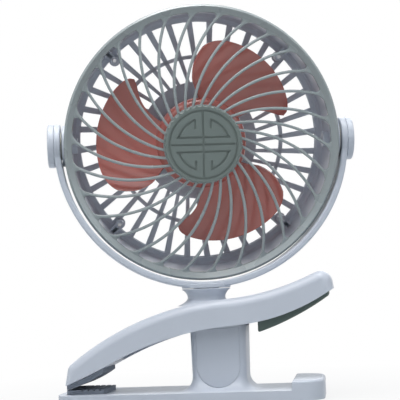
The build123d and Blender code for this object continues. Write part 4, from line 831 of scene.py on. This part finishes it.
drum = turned("drum_housing", drum_outline, RIM_STEPS)
boss_root = DRUM_INNER + BOSS_SUNK
post_length = TILT_POST_REACH + TILT_POST_SUNK
for side in (-1, 1):
    boss_place = (side * (BOSS_FACE + boss_root) / 2, 0, 0)
    boss = rod(BOSS_RADIUS, BOSS_FACE - boss_root, boss_place, (0, side * pi / 2, 0), BOSS_STEPS)
    rounded(boss, BOSS_EDGE, 60, 3)
    cut(drum, boss, "UNION")
    post_place = (side * (DRUM_INNER + TILT_POST_SUNK - post_length / 2), 0, 0)
    cut(drum, rod(TILT_POST, post_length, post_place, ALONG_X, POST_SIDES), "UNION")
    cut(drum, rod(TILT_BORE, TILT_BORE_LENGTH, (side * BOSS_FACE, 0, 0), ALONG_X))


def screw_tubes(radius, ring, count, start, low, high):
    """Short tubes along z, spaced round a ring, that small screws go into."""
    edge = SCREW_HOLE_EDGE
    outline = [
        (SCREW_HOLE, low), (radius, low), (radius, high - edge), (radius - edge, high),
        (SCREW_HOLE + edge, high), (SCREW_HOLE, high - edge), (SCREW_HOLE, low),
    ]
    tubes = []
    for number in range(count):
        angle = start + 2 * pi * number / count
        tube = turned("screw_post", outline, SCREW_STEPS)
        tube.data.transform(Matrix.Translation((ring * cos(angle), ring * sin(angle), 0)))
        tubes.append(tube)
    return tubes


def post_ties(angle, low, high):
    """Two thin webs that tie a screw post to the drum's wall."""
    ties = []
    for side in (-1, 1):
        place = (SCREW_POST_RING + TIE_OUTWARDS, side * TIE_ASIDE, (low + high) / 2)
        tie = block(place, (*TIE_SIZE, high - low))
        tie.data.transform(Matrix.Rotation(angle, 4, "Z"))
        ties.append(tie)
    return ties


post_front = REAR_SEAT + SCREW_POST_LENGTH
turn_to_first = pi / SCREW_POSTS
posts = screw_tubes(
    SCREW_POST, SCREW_POST_RING, SCREW_POSTS, turn_to_first, REAR_SEAT, post_front
)
for number in range(SCREW_POSTS):
    angle = turn_to_first + 2 * pi * number / SCREW_POSTS
    posts += post_ties(angle, REAR_SEAT + TIE_ABOVE_SEAT, post_front - TIE_BELOW_FRONT)
drum = joined([drum, *posts])
drum.name = "drum_housing"
seat(drum, HEAD, 32)
dress(drum, shell_plastic)
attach(drum, "fan_head")
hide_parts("drum")

# ==================== rear grille
# A white disc screwed into the back of the drum: a rim, thirty-six leaning bars that widen
# outwards, with a ring half way, a solid middle, and a cup in front that grips the motor.
REAR_PLATE = 2.0
REAR_BARS = 36
REAR_BAR_INNER_WIDTH = 1.75
REAR_BAR_OUTER_WIDTH = 3.3
REAR_BAR_ASIDE = 1.2
REAR_BAR_EDGE = 0.35
REAR_BAR_SUNK = (1.0, 0.6)  # how far a bar runs into the middle and into the rim
REAR_RIM_INNER = 62.2
REAR_RIM_OUTER = 63.5
REAR_RING = 44.0
REAR_RING_HALF = 1
REAR_RING_STEPS = 144
REAR_MIDDLE = 31.0
REAR_MIDDLE_EDGE = 0.3
REAR_MIDDLE_STEPS = 120
REAR_LEAN = radians(8)
CUP_INNER = 12.55
CUP_OUTER = 14.35
CUP_DEPTH = 6.0
CUP_SUNK = 0.5
SCREW_PAD = 2.9
POD_POSTS = 3
POD_POST_RING = 25.3
POD_POST_LENGTH = 3.0
POD_POST_SUNK = 0.2  # the posts start this far inside the plate


def flat_ring(name, inner, outer, rear, front, steps, edge=0.3):
    """A turned ring with a flat front and back and slightly broken edges."""
    outline = [
        (inner, rear), (outer, rear), (outer, front - edge), (outer - edge, front),
        (inner + edge, front), (inner, front - edge), (inner, rear),
    ]
    return turned(name, outline, steps)


rear_rim = flat_ring(
    "rear_grille_disc", REAR_RIM_INNER, REAR_RIM_OUTER, HEAD_REAR, REAR_SEAT, RIM_STEPS
)
ring_inner, ring_outer = REAR_RING - REAR_RING_HALF, REAR_RING + REAR_RING_HALF
rear_ring = flat_ring("rear_ring", ring_inner, ring_outer, HEAD_REAR, REAR_SEAT, REAR_RING_STEPS)
motor_cup = flat_ring(
    "motor_cup", CUP_INNER, CUP_OUTER, REAR_SEAT - CUP_SUNK, REAR_SEAT + CUP_DEPTH, BOSS_STEPS
)
middle_outline = [
    (0, HEAD_REAR), (REAR_MIDDLE, HEAD_REAR), (REAR_MIDDLE, REAR_SEAT - REAR_MIDDLE_EDGE),
    (REAR_MIDDLE - REAR_MIDDLE_EDGE, REAR_SEAT), (0, REAR_SEAT),
]
rear_middle = turned("rear_middle", middle_outline, REAR_MIDDLE_STEPS)
bar_from, bar_to = REAR_MIDDLE - REAR_BAR_SUNK[0], REAR_RIM_INNER + REAR_BAR_SUNK[1]
rear_bar = block((0, 0, 0), (bar_to - bar_from, REAR_BAR_INNER_WIDTH, REAR_PLATE))
for vertex in rear_bar.data.vertices:
    if vertex.co.x > 0:
        vertex.co.y *= REAR_BAR_OUTER_WIDTH / REAR_BAR_INNER_WIDTH
rounded(rear_bar, REAR_BAR_EDGE, 60, 2)
bar_middle = ((bar_from + bar_to) / 2, REAR_BAR_ASIDE, HEAD_REAR + REAR_PLATE / 2)
rear_bar.data.transform(Matrix.Translation(bar_middle) @ Matrix.Rotation(REAR_LEAN, 4, "Z"))
screw_pads = screw_tubes(
    SCREW_PAD, SCREW_POST_RING, SCREW_POSTS, turn_to_first, HEAD_REAR, REAR_SEAT
)
post_rear, post_front = REAR_SEAT - POD_POST_SUNK, REAR_SEAT + POD_POST_LENGTH
pod_posts = screw_tubes(SCREW_POST, POD_POST_RING, POD_POSTS, pi / 2, post_rear, post_front)
bars = copies_round(rear_bar, REAR_BARS)
rear_grille = joined([rear_rim, rear_ring, motor_cup, rear_middle, *screw_pads, *pod_posts, *bars])
rear_grille.name = "rear_grille_disc"
seat(rear_grille, HEAD, 32)
dress(rear_grille, shell_plastic)
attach(rear_grille, "fan_head")
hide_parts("rear_grille")

# ==================== yoke
# A bent band of white plastic, half a ring round the head, with round ends at the tilt axis
# and a flat landing that turns on the neck. It is moulded in one piece.
YOKE_INNER = 71.5
YOKE_OUTER = 74.7
YOKE_DEPTH = 18.0
YOKE_EAR = 11.0
YOKE_EDGE = 0.9
YOKE_STEPS = 96
YOKE_BORE_LENGTH = 12
YOKE_MERGE = 0.03
EAR_PROUD = 0.02  # the ears are this much thicker than the band, so no two faces coincide
EAR_EDGE = 0.72
BOSS_ROOM = 0.3
BOSS_ROOM_DEPTH = 6
BOSS_ROOM_GAP = 0.03
LANDING_THICK = 2.2
LANDING_RADIUS = 12.4
LANDING_EDGE = 0.4
LANDING_LOW_EDGE = 0.3
SPIGOT_RADIUS = 6.5
SPIGOT_LENGTH = 3.6
SPIGOT_BORE = 1.55
SPIGOT_FLOOR = 0.5
SCREW_HEAD_ROOM = 3.3
SCREW_HEAD_DEPTH = 8
SCREW_HEAD_SEAT = 1.4
ALONG_Y = (pi / 2, 0, 0)
YOKE = own_frame(PIVOT, TILT_AXIS, Vector((TILT_AXIS.y, -TILT_AXIS.x, 0)))

half_depth = YOKE_DEPTH / 2 - YOKE_EDGE
near_edge, far_edge = YOKE_INNER + YOKE_EDGE, YOKE_OUTER - YOKE_EDGE
band_outline = round_corner(far_edge, half_depth, YOKE_EDGE, 0)
band_outline += round_corner(near_edge, half_depth, YOKE_EDGE, 90)
band_outline += round_corner(near_edge, -half_depth, YOKE_EDGE, 180)
band_outline += round_corner(far_edge, -half_depth, YOKE_EDGE, 270)
band_outline.append(band_outline[0])
yoke = turned("yoke_band", band_outline, YOKE_STEPS, pi, pi)
capped(yoke)
for side in (-1, 1):
    ear_place = (side * (YOKE_OUTER + YOKE_INNER) / 2, 0, 0)
    ear = rod(YOKE_EAR, YOKE_OUTER - YOKE_INNER + EAR_PROUD, ear_place, ALONG_X, YOKE_STEPS)
    rounded(ear, EAR_EDGE, 60, 4)
    cut(yoke, ear, "UNION")
    # room for the head's boss, which the band's inner curve would stand in the way of
    room_place = (side * (YOKE_INNER - BOSS_ROOM_DEPTH / 2 - BOSS_ROOM_GAP), 0, 0)
    cut(yoke, rod(YOKE_EAR + BOSS_ROOM, BOSS_ROOM_DEPTH, room_place, ALONG_X, YOKE_STEPS))
    cut(yoke, rod(TILT_BORE, YOKE_BORE_LENGTH, (side * YOKE_OUTER, 0, 0), ALONG_X))
landing_outline = [
    (0, LANDING_THICK),
    (LANDING_RADIUS - LANDING_EDGE, LANDING_THICK),
    (LANDING_RADIUS, LANDING_THICK - LANDING_EDGE),
    (LANDING_RADIUS, LANDING_LOW_EDGE),
    (LANDING_RADIUS - LANDING_LOW_EDGE, 0),
    (SPIGOT_RADIUS, 0),
    (SPIGOT_RADIUS, -SPIGOT_LENGTH),
    (SPIGOT_BORE, -SPIGOT_LENGTH),
    (SPIGOT_BORE, -SPIGOT_FLOOR),
    (0, -SPIGOT_FLOOR),
]
landing = turned("yoke_landing", landing_outline, BOSS_STEPS)
stand_up = Matrix.Rotation(-pi / 2, 4, "X")
landing.data.transform(Matrix.Translation((0, -YOKE_OUTER, 0)) @ stand_up)
cut(yoke, landing, "UNION")
head_place = (0, -YOKE_OUTER + SCREW_HEAD_SEAT + SCREW_HEAD_DEPTH / 2, 0)
cut(yoke, rod(SCREW_HEAD_ROOM, SCREW_HEAD_DEPTH, head_place, ALONG_Y, POST_SIDES))
edit_all(yoke)
bpy.ops.mesh.remove_doubles(threshold=YOKE_MERGE)
close_up()
seat(yoke, YOKE, 32)
dress(yoke, shell_plastic)
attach(yoke, "yoke_frame")
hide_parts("yoke")

# ==================== pivot caps
# Thick round buttons of the same white plastic on the yoke's ends. Each covers the head of the
# tilt screw, which sits in a pocket on its inner side.
CAP_THICK = 3.2
CAP_EDGE = 0.8
CAP_INNER_EDGE = 0.15
CAP_POCKET = 4.2
CAP_POCKET_DEPTH = 1.8

caps = []
cap_outline = [
    (0, CAP_THICK),
    *round_corner(YOKE_EAR - CAP_EDGE, CAP_THICK - CAP_EDGE, CAP_EDGE, 0, steps=5)[::-1],
    (YOKE_EAR, CAP_INNER_EDGE),
    (YOKE_EAR - CAP_INNER_EDGE, 0),
    (CAP_POCKET, 0),
    (CAP_POCKET, CAP_POCKET_DEPTH),
    (0, CAP_POCKET_DEPTH),
]
for side in (-1, 1):
    cap = turned("pivot_cap", cap_outline, YOKE_STEPS)
    place = Matrix.Translation((side * YOKE_OUTER, 0, 0)) @ Matrix.Rotation(side * pi / 2, 4, "Y")
    cap.data.transform(place)
    caps.append(cap)
pivot_caps = joined(caps)
pivot_caps.name = "pivot_cap_pair"
seat(pivot_caps, HEAD, 32)
dress(pivot_caps, shell_plastic)
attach(pivot_caps, "yoke_frame")
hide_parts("pivot_caps")

# ==================== clip lever
# The S-shaped lever of the clip in white plastic: a channel, open underneath, with rounded
# upper edges, a solid jaw at the left and a turned, waisted neck for the yoke on top.
LEVER_DEPTH = 40.0
LEVER_WALL = 2.2
LEVER_ROOF = 2.6
LEVER_EDGE = 4.5
LEVER_END = 5.5
JAW_SOLID = -47.0
LEVER_TIP = (-70.6, 10.5)
LEVER_TIP_TOP = (-69.0, 20.0)
LEVER_CREST = [LEVER_TIP_TOP, (-37.0, 39.4), (12.0, 51.0)]
LEVER_TOP_END = (62.5, 66.0)
LEVER_HEEL = (64.4, 54.4)
LEVER_BELLY = [LEVER_HEEL, (36.0, 41.3), (14.0, 37.8)]
LEVER_THROAT = (-49.0, 20.0)
NECK_RADIUS = 12.4
NECK_TOP = 56.5
NECK_WAIST = 9.6
NECK_WAIST_Z = 52.2
NECK_FLARE = 15.0
NECK_FLARE_Z = 48.0
NECK_EDGE = 0.3
NECK_STEPS = 16
SOCKET_PLAY = 0.05
SOCKET_DEPTH = 3.9
SOCKET_TOOL = 8
CORNER_STEPS = 8
CORNER_CLEAR = 0.2  # nearer points to a corner than this are left out
UPPER_EDGE = 0.4  # an edge this far above the underside is an upper one
LEVER_EDGE_STEPS = 7
HOLLOW_EDGE = 1.6
HOLLOW_END = 4.5
PIN_X, PIN_Z = 6.3, 41.5
PIN_BOSS = 4.0
PIN_BOSS_LENGTH = 3.5
PIN_BOSS_INSET = 1.0
PIN_HOLE = 2.05
PIN_HOLE_SHORTER = 1.2
PIN_HOLE_BACK = 0.7
PIN_HEAD = 3.05
PIN_HEAD_DEPTH = 2
CLIP = Matrix.Scale(MM, 4)


def arc_onwards(points, end, count):
    """Goes on from the last two points of a line, without a corner, in an arc to the end."""
    start = Vector(points[-1])
    ahead = (start - Vector(points[-2])).normalized()
    chord = Vector(end) - start
    half_turn = ahead.angle_signed(chord)
    spots = []
    for number in range(1, count + 1):
        turn = -half_turn * 2 * number / count
        reach = chord.length * sin(turn / 2) / sin(-half_turn)
        spoke = ahead.copy()
        spoke.rotate(Matrix.Rotation(turn / 2, 2))
        spots.append(start + spoke * reach)
    return spots


def softened_corner(points, spot, radius):
    """Replaces a corner of a closed outline by a round one."""
    index = min(range(len(points)), key=lambda n: (Vector(points[n]) - Vector(spot)).length)
    sharp = Vector(points[index])
    others = [Vector(p) for p in points[index + 1 :] + points[:index]]
    back, on = (others[-1] - sharp).normalized(), (others[0] - sharp).normalized()
    half = back.angle(on) / 2
    setback = radius / tan(half)
    first, last = sharp + back * setback, sharp + on * setback
    centre = sharp + (back + on).normalized() * (radius / sin(half))
    swing = (first - centre).angle_signed(last - centre)
    while (others[0] - sharp).length < setback + CORNER_CLEAR:
        others.pop(0)
    while (others[-1] - sharp).length < setback + CORNER_CLEAR:
        others.pop()
    for number in range(CORNER_STEPS + 1):
        spoke = (first - centre).copy()
        spoke.rotate(Matrix.Rotation(-swing * number / CORNER_STEPS, 2))
        others.append(centre + spoke)
    return others


def slab(name, outline, half_depth):
    """A slab with a flat outline, drawn in the clip's front view and pulled out to both sides."""
    piece = draw_line(name, [(x, -half_depth, z) for x, z in outline])
    bpy.ops.mesh.select_all(action="SELECT")
    bpy.ops.mesh.edge_face_add()
    bpy.ops.mesh.extrude_region_move(TRANSFORM_OT_translate={"value": (0, 2 * half_depth, 0)})
    close_up()
    return piece


crest = arc_through(*LEVER_CREST, count=24)
lever_top = crest + arc_onwards(crest, LEVER_TOP_END, count=12)
belly = arc_through(*LEVER_BELLY, count=12)
throat = arc_onwards(belly, LEVER_THROAT, count=16)
lever_under = belly + throat + arc_onwards(belly + throat, LEVER_TIP, count=8)

lever_outline = softened_corner(lever_top + lever_under, LEVER_TOP_END, LEVER_END)
lever_outline = softened_corner(lever_outline, LEVER_TIP_TOP, LEVER_END)
lever = slab("clip_lever_moulding", lever_outline, LEVER_DEPTH / 2)
edit_all(lever)
bpy.ops.mesh.select_mode(type="EDGE")
bpy.ops.mesh.select_all(action="DESELECT")
bpy.ops.object.mode_set(mode="OBJECT")
for edge in lever.data.edges:
    ends = [lever.data.vertices[v].co for v in edge.vertices]
    middle = (ends[0] + ends[1]) / 2
    on_a_side = abs(ends[0].y - ends[1].y) < DOUBLED
    edge.select = on_a_side and middle.z > height_at(lever_under, middle.x) + UPPER_EDGE
bpy.ops.object.mode_set(mode="EDIT")
bpy.ops.mesh.bevel(
    offset=LEVER_EDGE, segments=LEVER_EDGE_STEPS, affect="EDGES", clamp_overlap=False
)
close_up()

roof_end, inner_end = LEVER_TOP_END[0] - LEVER_WALL, LEVER_HEEL[0] - LEVER_WALL
roof = [(x, z - LEVER_ROOF) for x, z in lever_top if JAW_SOLID < x < roof_end]
roof.append((inner_end, height_at(lever_top, inner_end) - LEVER_ROOF))
hollow_outline = [(JAW_SOLID, height_at(lever_top, JAW_SOLID) - LEVER_ROOF)] + roof
hollow_outline += [(inner_end, 0), (JAW_SOLID, 0)]
hollow_outline = softened_corner(hollow_outline, roof[-1], HOLLOW_END)
hollow = slab("lever_hollow", hollow_outline, LEVER_DEPTH / 2 - LEVER_WALL)
rounded(hollow, HOLLOW_EDGE, 60, 4)
cut(lever, hollow)

neck_from = NECK_TOP - NECK_EDGE
neck_outline = [(0, NECK_TOP), (NECK_RADIUS - NECK_EDGE, NECK_TOP), (NECK_RADIUS, neck_from)]
for number in range(1, NECK_STEPS + 1):
    height = neck_from + (NECK_FLARE_Z - neck_from) * number / NECK_STEPS
    if height > NECK_WAIST_Z:
        share = (height - NECK_WAIST_Z) / (NECK_TOP - NECK_WAIST_Z)
        bulge = NECK_RADIUS - NECK_WAIST
    else:
        share = (NECK_WAIST_Z - height) / (NECK_WAIST_Z - NECK_FLARE_Z)
        bulge = NECK_FLARE - NECK_WAIST
    neck_outline.append((NECK_WAIST + bulge * share ** 2, height))
neck_outline.append((0, NECK_FLARE_Z))
neck = turned("neck", neck_outline, HUB_STEPS)
cut(lever, neck, "UNION")
socket_place = (0, 0, NECK_TOP - SOCKET_DEPTH + SOCKET_TOOL / 2)
cut(lever, rod(SPIGOT_RADIUS + SOCKET_PLAY, SOCKET_TOOL, socket_place, sides=FINE_SIDES))
for face in (-1, 1):
    boss_place = (PIN_X, face * (LEVER_DEPTH / 2 - LEVER_WALL - PIN_BOSS_INSET), PIN_Z)
    cut(lever, rod(PIN_BOSS, PIN_BOSS_LENGTH, boss_place, ALONG_Y, POST_SIDES), "UNION")
hole_place, head_place = (PIN_X, PIN_HOLE_BACK, PIN_Z), (PIN_X, LEVER_DEPTH / 2, PIN_Z)
cut(lever, rod(PIN_HOLE, LEVER_DEPTH - PIN_HOLE_SHORTER, hole_place, ALONG_Y))
cut(lever, rod(PIN_HEAD, PIN_HEAD_DEPTH, head_place, ALONG_Y, POST_SIDES))
seat(lever, CLIP, 30)
dress(lever, shell_plastic)
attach(lever, "clip_lever")
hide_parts("clip_arm")

# ==================== handle grip and jaw pads
# A soft-touch cover closes the handle's underside, its dark grey-green painted shade, and ribbed
# rubber pads line the jaw. The cover is screwed on from below; the pads are let into their faces.
GRIP_SOLE = [(26.8, 34.0), (45.5, 41.4), (61.9, 51.0)]
GRIP_THICK = 3.2
GRIP_HALF = 17.75
GRIP_EDGE = 1.4
GRIP_INTO_BELLY = 1.2
GRIP_SCREWS = (35.0, 53.0)
GRIP_SCREW_HOLE = 1.95
GRIP_SCREW_DEPTH = 1.6
GRIP_SCREW_TOOL = 6


def paint_node(name, material):
    """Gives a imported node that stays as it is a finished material."""
    for material_slot in frame["nodes"][name].material_slots:
        material_slot.material = material


# The cover's dark grey-green is painted shade under the handle.
grip_rubber = moulded_plastic("grip_rubber", (92, 104, 99), 0.7, grain=0.5, drift=0.08, gloss=0.3)
sole = arc_through(*GRIP_SOLE, count=18)
grip_outline = sole + [
    (x, max(z + GRIP_THICK, height_at(belly, x) + GRIP_INTO_BELLY)) for x, z in sole[::-1]
]
grip = slab("handle_grip_cover", grip_outline, GRIP_HALF)
rounded(grip, GRIP_EDGE, 50, 4)
for x in GRIP_SCREWS:
    z = height_at(sole, x) + GRIP_SCREW_DEPTH - GRIP_SCREW_TOOL / 2
    cut(grip, rod(GRIP_SCREW_HOLE, GRIP_SCREW_TOOL, (x, 0, z)))
seat(grip, CLIP, 40)
dress(grip, grip_rubber)
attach(grip, "clip_lever")
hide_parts("handle_grip")

pad_rubber = moulded_plastic("pad_rubber", (142, 148, 158), 0.75, grain=0.5, drift=0.08, gloss=0.3)
paint_node("upper_grip_pad", pad_rubber)
paint_node("lower_grip_pad", pad_rubber)

# ==================== base
# The foot of the clip, white plastic: a long flat shell with round corners, a raised finger
# rest at the handle end, and a stem with the hinge ears on top. A tongue-shaped panel is let
# into the stem, and a plate with rubber feet closes the bottom.


def smoothed_copy(node, name, edge=0.0, angle=35):
    """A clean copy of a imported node's mesh, merged, with its edges broken and softly shaded."""
    bpy.ops.object.select_all(action="DESELECT")
    source = frame["nodes"][node]
    copy = bpy.data.objects.new(name, source.data.copy())
    bpy.context.scene.collection.objects.link(copy)
    copy.data.transform(Matrix.Scale(1 / MM, 4))
    edit_all(copy)
    bpy.ops.mesh.remove_doubles(threshold=DOUBLED)
    bpy.ops.mesh.dissolve_limited(angle_limit=radians(0.5))
    bpy.ops.object.mode_set(mode="OBJECT")
    if edge:
        rounded(copy, edge, angle, 2)
    seat(copy, CLIP, angle)
    return copy


foot_rubber = moulded_plastic("foot_rubber", (58, 60, 64), 0.8, grain=0.5, drift=0.1, gloss=0.3)
BASE_PIECES = (
    # node, name of the piece, broken edge, finish, slot
    ("base_shell", "base_moulding", 0.35, shell_plastic, "white_plastic"),
    ("stem_panel", "stem_tongue", 0.15, shell_plastic, "white_plastic"),
    ("bottom_cover", "bottom_plate", 0.15, shell_plastic, "white_plastic"),
    ("rubber_feet", "rubber_foot_set", 0.1, foot_rubber, "foot_rubber"),
)
for node, name, edge, finish, slot in BASE_PIECES:
    base_piece = smoothed_copy(node, name, edge)
    dress(base_piece, finish)
    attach(base_piece, "base")
    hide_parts(node)

# ==================== pod behind the motor
# A round white cover on the rear grille that holds the cell and the board, with the speed
# button, a light and three screws at the back and the charging opening underneath.
pod = smoothed_copy("pod_cover", "pod_cover_moulding", 0.2)
dress(pod, shell_plastic)
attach(pod, "fan_head")
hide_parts("pod_cover")

button = smoothed_copy("speed_button", "speed_button_cap", 0.1)
button_plastic = moulded_plastic("button_plastic", (150, 158, 166), 0.4, grain=0.2)
dress(button, button_plastic)
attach(button, "button")
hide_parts("speed_button")

# ==================== small metal and inner parts
# Screws, pins and washers, the motor and the electronics stay as they are packed, each in the
# finish of the real thing.


def metal(name, colour, roughness, brushing=0.1):
    """Bare or plated metal with faint brushing and uneven polish."""
    material = moulded_plastic(name, colour, roughness, grain=brushing, drift=0.06)
    material.node_tree.nodes["Principled BSDF"].inputs["Metallic"].default_value = 1.0
    return material


steel = metal("steel", (196, 198, 202), 0.3)
can_steel = metal("can_steel", (150, 152, 156), 0.42, 0.2)
brass = metal("brass", (200, 168, 96), 0.35)
copper = metal("copper", (190, 112, 72), 0.35, 0.4)
magnet = moulded_plastic("magnet", (62, 62, 66), 0.6, grain=0.4)
nylon = moulded_plastic("nylon", (226, 222, 208), 0.5, grain=0.15)
board_green = moulded_plastic("board_green", (38, 92, 62), 0.45, grain=0.2)
cell_wrap = moulded_plastic("cell_wrap", (52, 92, 150), 0.3, grain=0.1)
switch_black = moulded_plastic("switch_black", (34, 34, 36), 0.5, grain=0.2)
lens_clear = moulded_plastic("lens_clear", (210, 226, 214), 0.15, grain=0.02)
NODE_FINISHES = {
    steel: (
        "cover_screws", "grip_screws", "hinge_pin", "clip_spring", "swivel_screw", "pivot_screws",
        "rear_screws", "pod_screws", "motor_shaft", "charging_socket", "swivel_washer",
    ),
    can_steel: ("motor_can", "motor_end_cap", "rotor_core"),
    brass: ("insert_nut", "motor_bushes"),
    copper: ("rotor_coils", "commutator"),
    magnet: ("motor_magnets",),
    nylon: ("tilt_washers",),
    board_green: ("control_board",),
    cell_wrap: ("battery_cell",),
    switch_black: ("button_switch",),
    lens_clear: ("indicator_lens",),
}
for finish, names in NODE_FINISHES.items():
    for name in names:
        paint_node(name, finish)
